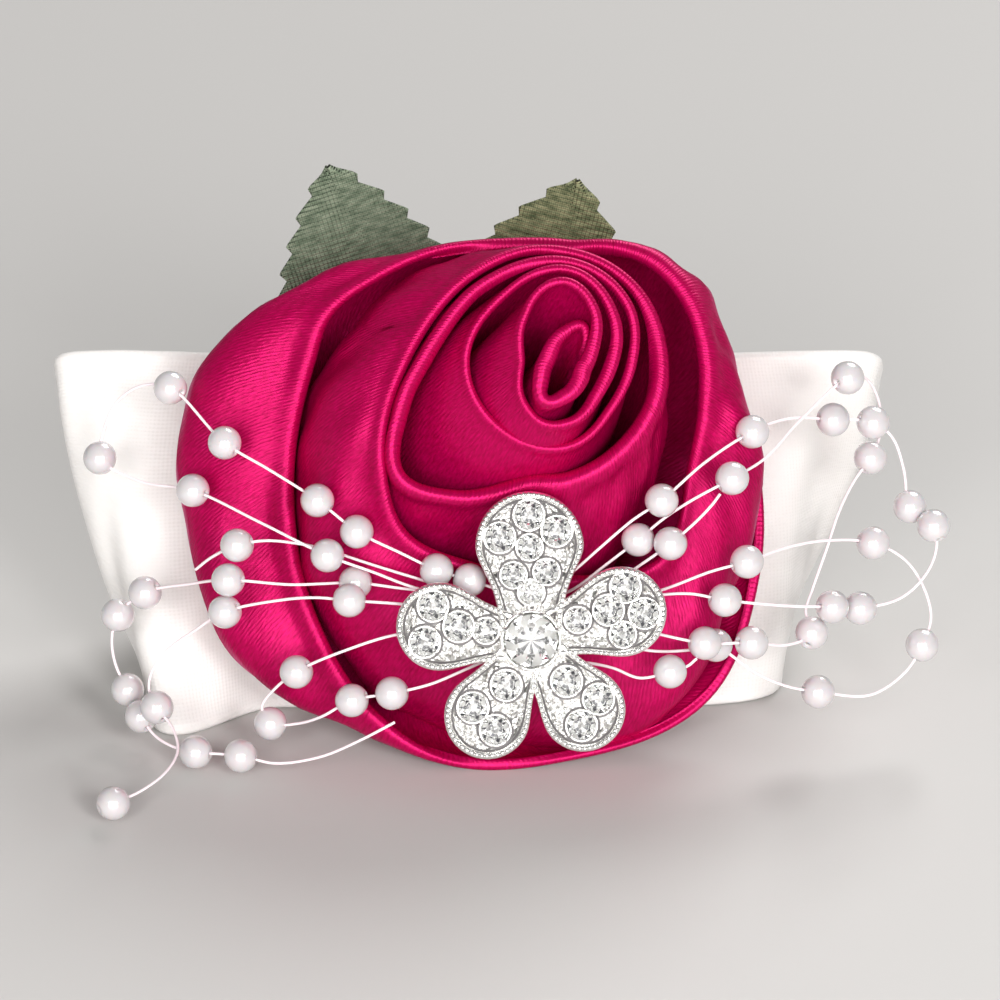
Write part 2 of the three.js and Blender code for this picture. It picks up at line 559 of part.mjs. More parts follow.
// Half the satin's thickness on the way up the wall: fullest just under the folded rim.
function satinHalf(up) {
  const rimStart = WALL_STATIONS.at(-3);
  const rimMiddle = WALL_STATIONS.at(-2);
  if (up > rimMiddle) {
    return SATIN_THICKNESS / 4;
  }
  return (SATIN_THICKNESS / 2) * (up > rimStart ? RIM_FULLNESS : 1);
}

function roseWrap(name, { startAngle, endAngle, stepAngle }) {
  const steps = Math.round((endAngle - startAngle) / stepAngle);
  const stations = [];
  for (let i = 0; i <= steps; i += 1) {
    const degrees = startAngle + ((endAngle - startAngle) * i) / steps;
    const side = (sign) => WALL_STATIONS.map((up) => (
      rosePoint(degrees, up).addScaledVector(roseNormal(degrees, up), sign * satinHalf(up))
    ));
    stations.push({ outer: side(-1), inner: side(1) });
  }
  return part(name, wallSolid(stations), 'satin');
}

// Brooch

function petalShape(length, width, neck) {
  const round = width / 2;
  const shape = new THREE.Shape();
  shape.moveTo(0, -neck / 2);
  shape.bezierCurveTo(length * 0.4, -neck / 2, length * 0.5, -round, length - round, -round);
  shape.absarc(length - round, 0, round, -Math.PI / 2, Math.PI / 2, false);
  shape.bezierCurveTo(length * 0.5, round, length * 0.4, neck / 2, 0, neck / 2);
  return shape;
}

function petalSolid({ angle, length, width, neck }, inset, from, to) {
  const shape = petalShape(length - inset, width - 2 * inset, neck - 2 * inset);
  const depth = to - from;
  const geometry = new THREE.ExtrudeGeometry(shape, { depth, bevelEnabled: false, curveSegments: 5 });
  geometry.translate(0, 0, from).rotateZ(THREE.MathUtils.degToRad(angle));
  return toSolid(geometry);
}

function disc(radius, from, to, x, y, segments) {
  const geometry = new THREE.CylinderGeometry(radius, radius, to - from, segments);
  return toSolid(geometry.rotateX(Math.PI / 2).translate(x, y, (from + to) / 2));
}

// Every stone of the brooch: its name, place from the brooch's centre, and radius.
function stoneList() {
  const list = [{ name: 'centre_stone', x: 0, y: 0, radius: CENTRE_STONE_RADIUS }];
  for (const [petal, { angle, stones }] of Object.entries(PETALS)) {
    stones.forEach(([along, across, radius], i) => {
      const place = new THREE.Vector2(along, across).rotateAround(
        new THREE.Vector2(), THREE.MathUtils.degToRad(angle),
      );
      list.push({ name: `stone_${petal}_${i + 1}`, x: place.x, y: place.y, radius });
    });
  }
  return list;
}

function seatFloor(stone) {
  const top = stone.radius === CENTRE_STONE_RADIUS ? CUP_HEIGHT : PLATE_THICKNESS;
  return top - SEAT_DEPTH;
}

function broochSetting() {
  const rimTop = PLATE_THICKNESS + RIM_HEIGHT;
  const above = rimTop + CUP_HEIGHT;
  let rims = null;
  let beds = null;
  let plate = disc(CUP_RADIUS, 0, CUP_HEIGHT, 0, 0, 24);
  for (const petal of Object.values(PETALS)) {
    const rim = petalSolid(petal, 0, 0, rimTop);
    const bed = petalSolid(petal, RIM_WIDTH, PLATE_THICKNESS, above);
    rims = rims ? rims.add(rim) : rim;
    beds = beds ? beds.add(bed) : bed;
  }
  let setting = rims.subtract(beds).add(plate);
  for (const stone of stoneList()) {
    const seat = disc(stone.radius + SEAT_CLEARANCE, seatFloor(stone), above, stone.x, stone.y, 8);
    setting = setting.subtract(seat);
  }
  const mesh = part('brooch_setting', toGeometry(setting), 'silver');
  mesh.position.set(BROOCH_CENTRE[0], BROOCH_CENTRE[1], BROOCH_BACK);
  return mesh;
}

// A round brilliant: culet facet, girdle and table, with flat facets round it.
function stoneMesh(stone) {
  const { radius } = stone;
  const facets = radius === CENTRE_STONE_RADIUS ? 12 : 8;
  const girdle = 0.55 * radius;
  const geometry = lathed([
    [0, 0], [0.45 * radius, 0], [radius, girdle],
    [0.58 * radius, girdle + 0.4 * radius], [0, girdle + 0.4 * radius],
  ], facets);
  const mesh = part(stone.name, geometry, 'stone');
  mesh.position.set(
    BROOCH_CENTRE[0] + stone.x,
    BROOCH_CENTRE[1] + stone.y,
    BROOCH_BACK + seatFloor(stone) + STONE_SEAT_GAP,
  );
  return mesh;
}

// Pearl strands

function circleShape(radius, sides) {
  const shape = new THREE.Shape();
  for (let i = 0; i < sides; i += 1) {
    const angle = (i / sides) * 2 * Math.PI;
    const method = i ? 'lineTo' : 'moveTo';
    shape[method](radius * Math.cos(angle), radius * Math.sin(angle));
  }
  return shape;
}

function pearlStrand(name, route) {
  const curve = new THREE.CatmullRomCurve3(route.map(([x, y, z]) => new THREE.Vector3(x, y, z)));
  const steps = Math.round(curve.getLength() / THREAD_STEP);
  const thread = new THREE.ExtrudeGeometry(circleShape(THREAD_RADIUS, 8), { steps, extrudePath: curve });
  let strand = toSolid(thread);
  for (const [x, y, z] of route.filter((point) => point[3])) {
    const pearl = new THREE.SphereGeometry(PEARL_RADIUS, 8, 4).translate(x, y, z);
    strand = strand.add(toSolid(pearl));
  }
  return part(`pearl_strand_${name}`, toGeometry(strand), 'pearl');
}

// Assembly

const face = new THREE.Group();
face.rotation.x = Math.PI / 2 - PANEL_LEAN;
face.position.y = -RIBBON_THICKNESS / 2 / Math.cos(PANEL_LEAN);
face.add(leaf('leaf_left', LEFT_LEAF_WIDTH, LEFT_LEAF_TIP, LEFT_LEAF_TURN, leftLeafFoot));
face.add(leaf('leaf_right', RIGHT_LEAF_WIDTH, RIGHT_LEAF_TIP, RIGHT_LEAF_TURN, rightLeafFoot));
face.add(feltPad());
face.add(roseWrap('rose_bud', BUD));
face.add(roseWrap('rose_middle_wrap', MIDDLE_WRAP));
face.add(roseWrap('rose_outer_wrap', OUTER_WRAP));
face.add(broochSetting());
stoneList().forEach((stone) => face.add(stoneMesh(stone)));

const body = new THREE.Group();
body.add(wristband(), bandFlap(), ...pressStuds(), face);

// The origin lies under the middle of the corsage, without its loose strands.
body.updateMatrixWorld(true);
const box = new THREE.Box3().setFromObject(body, true);
const centre = box.getCenter(new THREE.Vector3());
body.position.set(-centre.x, -centre.y, -box.min.z);

for (const [name, route] of Object.entries(STRAND_ROUTES)) {
  face.add(pearlStrand(name, route));
}

const corsage = new THREE.Group();
corsage.add(body);

export default corsage;
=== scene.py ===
import math

import bmesh
import bpy
import numpy as np
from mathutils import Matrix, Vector


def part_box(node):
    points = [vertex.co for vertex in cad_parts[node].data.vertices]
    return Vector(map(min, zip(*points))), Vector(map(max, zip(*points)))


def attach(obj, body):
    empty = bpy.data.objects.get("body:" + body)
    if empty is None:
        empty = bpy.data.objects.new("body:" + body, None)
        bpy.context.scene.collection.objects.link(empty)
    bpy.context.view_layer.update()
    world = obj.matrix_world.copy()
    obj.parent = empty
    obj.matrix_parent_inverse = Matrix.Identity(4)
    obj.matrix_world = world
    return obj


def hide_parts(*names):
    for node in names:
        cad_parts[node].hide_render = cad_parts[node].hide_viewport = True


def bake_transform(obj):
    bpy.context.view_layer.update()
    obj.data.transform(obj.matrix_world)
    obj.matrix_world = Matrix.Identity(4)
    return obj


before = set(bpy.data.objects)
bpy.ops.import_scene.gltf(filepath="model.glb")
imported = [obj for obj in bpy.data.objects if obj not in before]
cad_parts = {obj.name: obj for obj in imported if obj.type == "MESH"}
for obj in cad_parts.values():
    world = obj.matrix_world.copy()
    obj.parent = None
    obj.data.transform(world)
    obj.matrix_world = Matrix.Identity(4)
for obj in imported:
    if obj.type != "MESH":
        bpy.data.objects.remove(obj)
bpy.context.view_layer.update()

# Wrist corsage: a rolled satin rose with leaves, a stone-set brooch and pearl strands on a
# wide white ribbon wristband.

MM = 0.001
LEAN = math.radians(26)
BODY = "corsage"

# The face of the corsage: x right, v up the leaning panel and h out of it, in millimetres.
PAD_CENTRE = (0.3, 23.0, 3.25)
FACE_X = Vector((1, 0, 0))
FACE_V = Vector((0, math.sin(LEAN), math.cos(LEAN)))
FACE_H = Vector((0, -math.cos(LEAN), math.sin(LEAN)))
FACE_AXES = np.array([FACE_X, FACE_V, FACE_H])
pad_low, pad_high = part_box("felt_pad")
FACE_ORIGIN = (np.array(pad_low) + np.array(pad_high)) / 2 - MM * np.array(PAD_CENTRE) @ FACE_AXES


def on_face(points):
    """Face points in millimetres, any shape ending in x, v, h, as points of the shared frame."""
    return MM * np.asarray(points, float) @ FACE_AXES + FACE_ORIGIN


def smoothstep(value, low, high):
    t = np.clip((value - low) / (high - low), 0, 1)
    return t * t * (3 - 2 * t)


def cubic(t, point, rise, start, end):
    """A smooth step from a point by a rise, with the slopes it has at its start and its end."""
    return point + t * start + t**2 * (3 * rise - 2 * start - end) + t**3 * (start + end - 2 * rise)


def lengths_along(line):
    """The distance along a line at each of its points."""
    steps = np.linalg.norm(np.diff(line, axis=0), axis=1)
    return np.concatenate([[0], np.cumsum(steps)])


def spun(points, angle):
    """Flat points turned round their origin by an angle in radians."""
    c, s = math.cos(angle), math.sin(angle)
    return np.asarray(points) @ np.array(((c, s), (-s, c)))


def along_keys(keys, at):
    """Smooth values between the rows of keys, whose first column is each row's place."""
    table = np.array(keys, float)
    place = table[:, 0]
    values = table[:, 1:]
    slopes = np.gradient(values, place, axis=0)
    at = np.clip(at, place[0], place[-1])
    i = np.clip(np.searchsorted(place, at) - 1, 0, len(place) - 2)
    span = (place[i + 1] - place[i])[:, None]
    t = (at - place[i])[:, None] / span
    rise = values[i + 1] - values[i]
    return cubic(t, values[i], rise, slopes[i] * span, slopes[i + 1] * span)


def ripple(along, up, waves):
    """A sum of soft waves: each has its height, turns along, turns up and phase."""
    total = np.zeros(np.broadcast(along, up).shape)
    for height, turns_along, turns_up, phase in waves:
        total = total + height * np.sin(2 * math.pi * (turns_along * along + turns_up * up + phase))
    return total


# Meshes

def mesh_piece(name, vertices, faces, material, uvs=None, smooth=True):
    """A new mesh object in the shared frame. uvs, one for each vertex, are in millimetres."""
    mesh = bpy.data.meshes.new(name)
    mesh.from_pydata(np.asarray(vertices).tolist(), [], faces)
    mesh.polygons.foreach_set("use_smooth", [smooth] * len(mesh.polygons))
    if uvs is not None:
        corners = np.zeros(len(mesh.loops), int)
        mesh.loops.foreach_get("vertex_index", corners)
        layer = mesh.uv_layers.new(name="cloth")
        layer.data.foreach_set("uv", np.asarray(uvs, np.float32)[corners].ravel())
    tidy = bmesh.new()
    tidy.from_mesh(mesh)
    bmesh.ops.recalc_face_normals(tidy, faces=tidy.faces)
    tidy.to_mesh(mesh)
    tidy.free()
    mesh.materials.append(material)
    piece = bpy.data.objects.new(name, mesh)
    bpy.context.collection.objects.link(piece)
    return piece


def ring_faces(rings, around):
    """Four-sided faces between rings of points, each with so many points around."""
    faces = []
    for i in range(rings - 1):
        for j in range(around):
            k = (j + 1) % around
            faces.append((i * around + j, i * around + k, (i + 1) * around + k, (i + 1) * around + j))
    return faces


def surface_normals(middle):
    along = np.gradient(middle, axis=0)
    up = np.gradient(middle, axis=1)
    normals = np.cross(along, up)
    return normals / np.maximum(np.linalg.norm(normals, axis=-1, keepdims=True), 1e-12)


def cloth_piece(name, middle, half, uv, material):
    """A sheet of cloth with thickness: its middle surface as rows of points across it, the half
    thickness at each, which is 0 at the two long edges, and the cloth's own millimetres."""
    rows, across = middle.shape[:2]
    normals = surface_normals(middle)
    outer = middle + normals * half[..., None]
    inner = middle - normals * half[..., None]
    ring = 2 * across - 2
    loop = np.concatenate([outer, inner[:, -2:0:-1]], axis=1)
    loop_uv = np.concatenate([uv, uv[:, -2:0:-1]], axis=1)
    faces = ring_faces(rows, ring)
    for start in (0, (rows - 1) * ring):
        for j in range(across - 1):
            near = start + (ring - j) % ring
            corners = [start + j, start + j + 1, start + (ring - j - 1) % ring, near]
            faces.append(tuple(dict.fromkeys(corners)))
    return mesh_piece(name, loop.reshape(-1, 3), faces, material, loop_uv.reshape(-1, 2))


# Materials

def new_material(name, colour, roughness, **sockets):
    """A Principled material. Other sockets are given by name, with _ for a space."""
    material = bpy.data.materials.new(name)
    material.use_nodes = True
    shader = material.node_tree.nodes["Principled BSDF"]
    shader.inputs["Base Color"].default_value = (*colour, 1)
    shader.inputs["Roughness"].default_value = roughness
    for socket, value in sockets.items():
        shader.inputs[socket.replace("_", " ")].default_value = value
    return material


def add_node(material, kind, **settings):
    node = material.node_tree.nodes.new(kind)
    for name, value in settings.items():
        setattr(node, name, value)
    return node


def link(material, source, target):
    material.node_tree.links.new(source, target)


# The wave texture turns through this many radians in a unit, at a scale of 1.
WAVE_RADIANS = 20


def thread_bands(material, direction, period, wander):
    """Parallel threads across the cloth, one every period millimetres."""
    bands = add_node(material, "ShaderNodeTexWave", bands_direction=direction)
    bands.inputs["Scale"].default_value = 2 * math.pi / WAVE_RADIANS / period
    bands.inputs["Distortion"].default_value = wander
    bands.inputs["Detail"].default_value = 1
    bands.inputs["Detail Scale"].default_value = 0.6
    place = add_node(material, "ShaderNodeUVMap", uv_map="cloth")
    link(material, place.outputs["UV"], bands.inputs["Vector"])
    return bands.outputs["Fac"]


def slubs(material, scale, along, across=1):
    """Uneven thickness of the threads, drawn out along the cloth and across it."""
    place = add_node(material, "ShaderNodeUVMap", uv_map="cloth")
    longer = add_node(material, "ShaderNodeMapping")
    longer.inputs["Scale"].default_value = (1 / along, 1 / across, 1)
    blotch = add_node(material, "ShaderNodeTexNoise")
    blotch.inputs["Scale"].default_value = scale
    blotch.inputs["Detail"].default_value = 3
    link(material, place.outputs["UV"], longer.inputs["Vector"])
    link(material, longer.outputs["Vector"], blotch.inputs["Vector"])
    return blotch.outputs["Fac"]


def bump(material, heights_and_depths):
    """Stacks bumps on the material's shader: each a height output and its depth in millimetres."""
    shader = material.node_tree.nodes["Principled BSDF"]
    normal = None
    for height, depth in heights_and_depths:
        node = add_node(material, "ShaderNodeBump")
        node.inputs["Distance"].default_value = depth * MM
        link(material, height, node.inputs["Height"])
        if normal:
            link(material, normal, node.inputs["Normal"])
        normal = node.outputs["Normal"]
    link(material, normal, shader.inputs["Normal"])


def mottle(material, factor, dark, light):
    """Colours the base between two tones, by a factor output."""
    ramp = add_node(material, "ShaderNodeValToRGB")
    for element, position, tone in zip(ramp.color_ramp.elements, (0.3, 0.7), (dark, light)):
        element.position = position
        element.color = (*tone, 1)
    link(material, factor, ramp.inputs["Fac"])
    shader = material.node_tree.nodes["Principled BSDF"]
    link(material, ramp.outputs["Color"], shader.inputs["Base Color"])


def rose_satin():
    satin = new_material(
        "rose_satin", (0.42, 0.0, 0.07), 0.43, Metallic=0.42, Specular_IOR_Level=0.6,
        Specular_Tint=(1, 0.3, 0.85, 1), Anisotropic=0.5,
    )
    grain = add_node(satin, "ShaderNodeTangent", direction_type="UV_MAP", uv_map="cloth")
    link(satin, grain.outputs["Tangent"], satin.node_tree.nodes["Principled BSDF"].inputs["Tangent"])
    rows = thread_bands(satin, "X", 0.45, 3)
    yarn = slubs(satin, 1.2, 1, 3)
    dashes = slubs(satin, 4, 1, 4)
    mottle(satin, dashes, (0.34, 0.0, 0.043), (0.52, 0.0, 0.086))
    bump(satin, [(rows, 0.02), (yarn, 0.03), (dashes, 0.07)])
    return satin


def white_satin():
    satin = new_material(
        "white_satin", (0.8, 0.77, 0.745), 0.5, Specular_IOR_Level=0.4,
        Sheen_Weight=0.2, Sheen_Roughness=0.4, Subsurface_Weight=0.15, Subsurface_Scale=0.002,
        Subsurface_Radius=(1, 0.9, 0.8),
    )
    yarn = slubs(satin, 1.1, 3)
    weft = thread_bands(satin, "X", 0.4, 1.5)
    warp = thread_bands(satin, "Y", 0.4, 1.5)
    bump(satin, [(weft, 0.015), (warp, 0.015), (yarn, 0.05)])
    return satin


def leaf_cloth(name, dark, light):
    weave = new_material(name, light, 0.75, Specular_IOR_Level=0.3)
    mottle(weave, slubs(weave, 1.6, 2.5), dark, light)
    warp = thread_bands(weave, "X", 0.46, 1.5)
    weft = thread_bands(weave, "Y", 0.46, 1.5)
    bump(weave, [(warp, 0.2), (weft, 0.2)])
    return weave


def felt():
    wool = new_material("felt", (0.2, 0.004, 0.05), 0.95, Sheen_Weight=0.5)
    bump(wool, [(slubs(wool, 4, 1), 0.1)])
    return wool


def silver_bed_painted_shade():
    """The rough cast metal between the stones, painted darker than the polished metal as shade in the
    gaps between its grains and stones, with its pits painted darker still as shade.
    """
    bed = new_material("silver_bed_painted_shade", (0.9, 0.88, 0.85), 0.3, Metallic=1)
    place = add_node(bed, "ShaderNodeTexCoord")
    pits_and_painted_shade = add_node(bed, "ShaderNodeTexNoise")
    pits_and_painted_shade.inputs["Scale"].default_value = 1.6 / MM
    pits_and_painted_shade.inputs["Detail"].default_value = 2
    link(bed, place.outputs["Object"], pits_and_painted_shade.inputs["Vector"])
    mottle(bed, pits_and_painted_shade.outputs["Fac"], (0.35, 0.33, 0.31), (0.95, 0.94, 0.92))
    bump(bed, [(pits_and_painted_shade.outputs["Fac"], 0.5)])
    return bed


def pearl_shell():
    return new_material(
        "pearl", (0.59, 0.555, 0.565), 0.35, Specular_IOR_Level=0.5, Coat_Weight=1.0, Coat_IOR=2.0,
        Coat_Roughness=0.1, Subsurface_Weight=0.2, Subsurface_Scale=0.001,
    )


ROSE_SATIN = rose_satin()
WHITE_SATIN = white_satin()
LEAF_CLOTH = leaf_cloth("leaf_cloth", (0.115, 0.16, 0.1), (0.3, 0.35, 0.245))
OLIVE_CLOTH = leaf_cloth("leaf_cloth_olive", (0.09, 0.115, 0.052), (0.37, 0.375, 0.205))
FELT = felt()
SILVER = new_material("silver_plate", (0.97, 0.96, 0.94), 0.27, Metallic=1)
# The bed of the setting is metal painted darker, as shade between its grains and stones.
SILVER_BED_PAINTED_SHADE = silver_bed_painted_shade()
# Flat dark paint for the shade in the grooves round the stones and on the rims' inner walls.
PAINTED_GROOVE_SHADE = new_material("painted_groove_shade", (0.13, 0.12, 0.12), 0.6)
STUD_METAL = new_material("snap_metal", (0.62, 0.62, 0.62), 0.35, Metallic=1)
PEARL_SHELL = pearl_shell()
STRAND_THREAD = new_material("strand_thread", (0.88, 0.76, 0.79), 0.35, Specular_IOR_Level=0.5)
STONE_GLASS = new_material("stone_glass", (1, 1, 1), 0.0, Transmission_Weight=1, IOR=1.6)
STONE_FOIL = new_material("stone_foil", (0.97, 0.97, 0.97), 0.06, Metallic=1)
# Backs for the stones' pavilion facets: a white diffuse as painted glints and a near black as painted
# dark reflections.
STONE_PAINTED_GLINT = new_material("stone_painted_glint", (0.97, 0.96, 0.93), 0.4)
STONE_PAINTED_DARK_REFLECTION = new_material("stone_painted_dark_reflection", (0.05, 0.05, 0.06), 0.3)


# Wristband

RIBBON_WIDTH = 40
BAND_TOP_WIDTH = 92
BAND_TOP_GAP = 8
BAND_TOP_END_RISE = 1.6
BAND_REAR_DROP = 8
BAND_BOTTOM_WIDTH = 69
BAND_FRONT_CORNER = 8
BAND_BOTTOM_DEPTH = 46
BAND_LEFT_CURL = 9
BAND_RIGHT_CURL = 0.5
CURL_START = 21
LEFT_SIDE_SWELL = 3.2
RIGHT_SIDE_SWELL = 2.2
SIDE_FOLD_AT = 0.27
FLAP_HINGE_AT = 0.37
FLAP_LENGTH = 38
TAIL_OVERLAP = 34
FLAP_OFFSET = 3.6
FLAP_ROOT = 12
RIBBON_HALF = 0.5
RIBBON_EDGE_ROLL = 0.7
LOOP_POINTS = 4000
LOOP_SQUARENESS = 5
BOTTOM_REAR_SQUARENESS = 2.2
SWELL_FULL_AT = 38
FLAP_BEND_REACH = 3.5
BAND_ORIGIN = FACE_ORIGIN / MM + np.array((0, RIBBON_HALF / math.cos(LEAN), 0))


def band_loop(half_width, front_depth, rear_depth, rear_squareness):
    """A closed loop seen from above, from its front centre round by the right: squarish in
    front and round at the back."""
    angle = np.linspace(0, 2 * math.pi, LOOP_POINTS, endpoint=False)
    front = np.cos(angle) > 0
    squareness = np.where(front, LOOP_SQUARENESS, rear_squareness)
    depth = np.where(front, front_depth, rear_depth)
    x = half_width * np.sign(np.sin(angle)) * np.abs(np.sin(angle)) ** (2 / squareness)
    y = front_depth - depth * np.sign(np.cos(angle)) * np.abs(np.cos(angle)) ** (2 / squareness)
    return x, y


def band_bottom():
    reach = BAND_BOTTOM_WIDTH / 2
    rear_depth = BAND_BOTTOM_DEPTH - BAND_FRONT_CORNER
    x, y = band_loop(reach, BAND_FRONT_CORNER, rear_depth, BOTTOM_REAR_SQUARENESS)
    curl = BAND_RIGHT_CURL * smoothstep(x, CURL_START, reach)
    curl = curl - BAND_LEFT_CURL * smoothstep(-x, CURL_START, reach)
    return np.stack([x, y + curl, np.zeros_like(x)], axis=-1)


def band_top():
    x, y = band_loop(BAND_TOP_WIDTH / 2, BAND_TOP_GAP / 2, BAND_TOP_GAP / 2, LOOP_SQUARENESS)
    slant = RIBBON_WIDTH - BAND_TOP_END_RISE / 2 + BAND_TOP_END_RISE * (2 * x / BAND_TOP_WIDTH) ** 2
    z = slant * math.cos(LEAN) - BAND_REAR_DROP * y / BAND_TOP_GAP
    return np.stack([x, y + RIBBON_WIDTH * math.sin(LEAN), z], axis=-1)


def loop_length(loop):
    return np.linalg.norm(np.roll(loop, -1, axis=0) - loop, axis=1).sum()


def round_loop(loop, shares):
    """Points of a closed loop at shares of its length."""
    closed = np.vstack([loop, loop[:1]])
    place = lengths_along(closed)
    at = shares % 1 * place[-1]
    return np.stack([np.interp(at, place, closed[:, k]) for k in range(3)], axis=-1)


BAND_BOTTOM = band_bottom()
BAND_TOP = band_top()
BAND_LENGTH = loop_length(BAND_BOTTOM)
FLAP_END = FLAP_HINGE_AT + FLAP_LENGTH / BAND_LENGTH
TAIL_END = FLAP_END - TAIL_OVERLAP / BAND_LENGTH - 1


def edge_stations(width, roll, inside):
    """Places across a cloth of that width: close together round its two rolled edges."""
    edge = roll * np.array([0, 0.06, 0.25, 0.55, 1, 1.6])
    middle = np.linspace(2.4 * roll, width - 2.4 * roll, inside)
    return np.concatenate([edge, middle, width - edge[::-1]])


def rolled_half(from_edge, roll, wall):
    """Half the thickness of cloth whose folded edge is a soft roll, thicker than the wall."""
    tip = np.sqrt(np.clip(roll**2 - (roll - from_edge) ** 2, 0, None))
    body = wall + (roll - wall) * (1 - smoothstep(from_edge, roll, 3.2 * roll))
    return np.where(from_edge < roll, tip, body)


# Soft dents of the band: height in millimetres, waves round the wrist and up it, phase.
BAND_DENTS = [
    (0.28, 7, 0.4, 0.1), (0.2, 13, -0.7, 0.45), (0.16, 3, 1.1, 0.8),
    (0.1, 24, 0.9, 0.3), (0.08, 31, -1.3, 0.6),
]


def band_surface(shares, up):
    """The band's middle surface and its outward direction, round the wrist and up the ribbon."""
    step = 0.002
    bottom = round_loop(BAND_BOTTOM, shares)[:, None]
    rise = round_loop(BAND_TOP, shares)[:, None] - bottom
    ahead = round_loop(BAND_BOTTOM, shares + step) - round_loop(BAND_BOTTOM, shares - step)
    ahead_top = round_loop(BAND_TOP, shares + step) - round_loop(BAND_TOP, shares - step)
    share_up = up[None, :, None]
    along = ahead[:, None] * (1 - share_up) + ahead_top[:, None] * share_up
    outward = np.cross(along, np.broadcast_to(rise, along.shape))
    outward /= np.linalg.norm(outward, axis=-1, keepdims=True)
    offset = FLAP_OFFSET * smoothstep(shares, SIDE_FOLD_AT, FLAP_HINGE_AT)
    middle = bottom + rise * share_up
    x = middle[..., 0]
    left = LEFT_SIDE_SWELL * smoothstep(-x, CURL_START, SWELL_FULL_AT)
    right = RIGHT_SIDE_SWELL * smoothstep(x, CURL_START, SWELL_FULL_AT)
    middle[..., 0] += (right - left) * np.sin(math.pi * up) ** 0.8
    return middle + outward * offset[:, None, None] + BAND_ORIGIN, outward


def band_cloth(name, start, end, rows):
    """A stretch of the band between two shares of its way round."""
    shares = np.linspace(start, end, rows)
    across = edge_stations(RIBBON_WIDTH, RIBBON_EDGE_ROLL, 26)
    up = across / RIBBON_WIDTH
    middle, outward = band_surface(shares, up)
    free = np.sqrt(np.sin(math.pi * up))
    dents = ripple(shares[:, None], up[None, :], BAND_DENTS) * free[None, :]
    middle = middle + outward * dents[..., None]
    from_edge = np.minimum(across, RIBBON_WIDTH - across)
    thickness = rolled_half(from_edge, RIBBON_EDGE_ROLL, RIBBON_HALF)
    half = np.broadcast_to(thickness, middle.shape[:2])
    uv = np.stack(np.broadcast_arrays((shares * BAND_LENGTH)[:, None], across[None, :]), axis=-1)
    return cloth_piece(name, MM * middle, MM * half, uv, WHITE_SATIN)


flap_root = FLAP_HINGE_AT - FLAP_ROOT / BAND_LENGTH
wristband = band_cloth("wristband_cloth", TAIL_END, flap_root, 260)
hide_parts("wristband")
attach(wristband, BODY)

flap = band_cloth("flap_cloth", flap_root, FLAP_END, 60)
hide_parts("band_flap")
bend = FLAP_HINGE_AT + np.array((-FLAP_BEND_REACH, FLAP_BEND_REACH)) / BAND_LENGTH
bend_points, _ = band_surface(bend, np.array([0.5]))
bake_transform(flap)


# Rose

ROSE_FOOT_CENTRE = (0.3, 23.0)
ROSE_FOOT_HEIGHT = 4.6
ROSE_EYE = (10.8, 38.7)
FOOT_START_RADIUS = 1.5
FOOT_PITCH = 2.6
SATIN_HALF = 0.3
# Shares of the way up a wall of the two points that pull its belly out, and of their pull that it
# follows.
BELLY_LOW = 0.25
BELLY_HIGH = 0.85
BELLY_FOLLOWS = 0.75
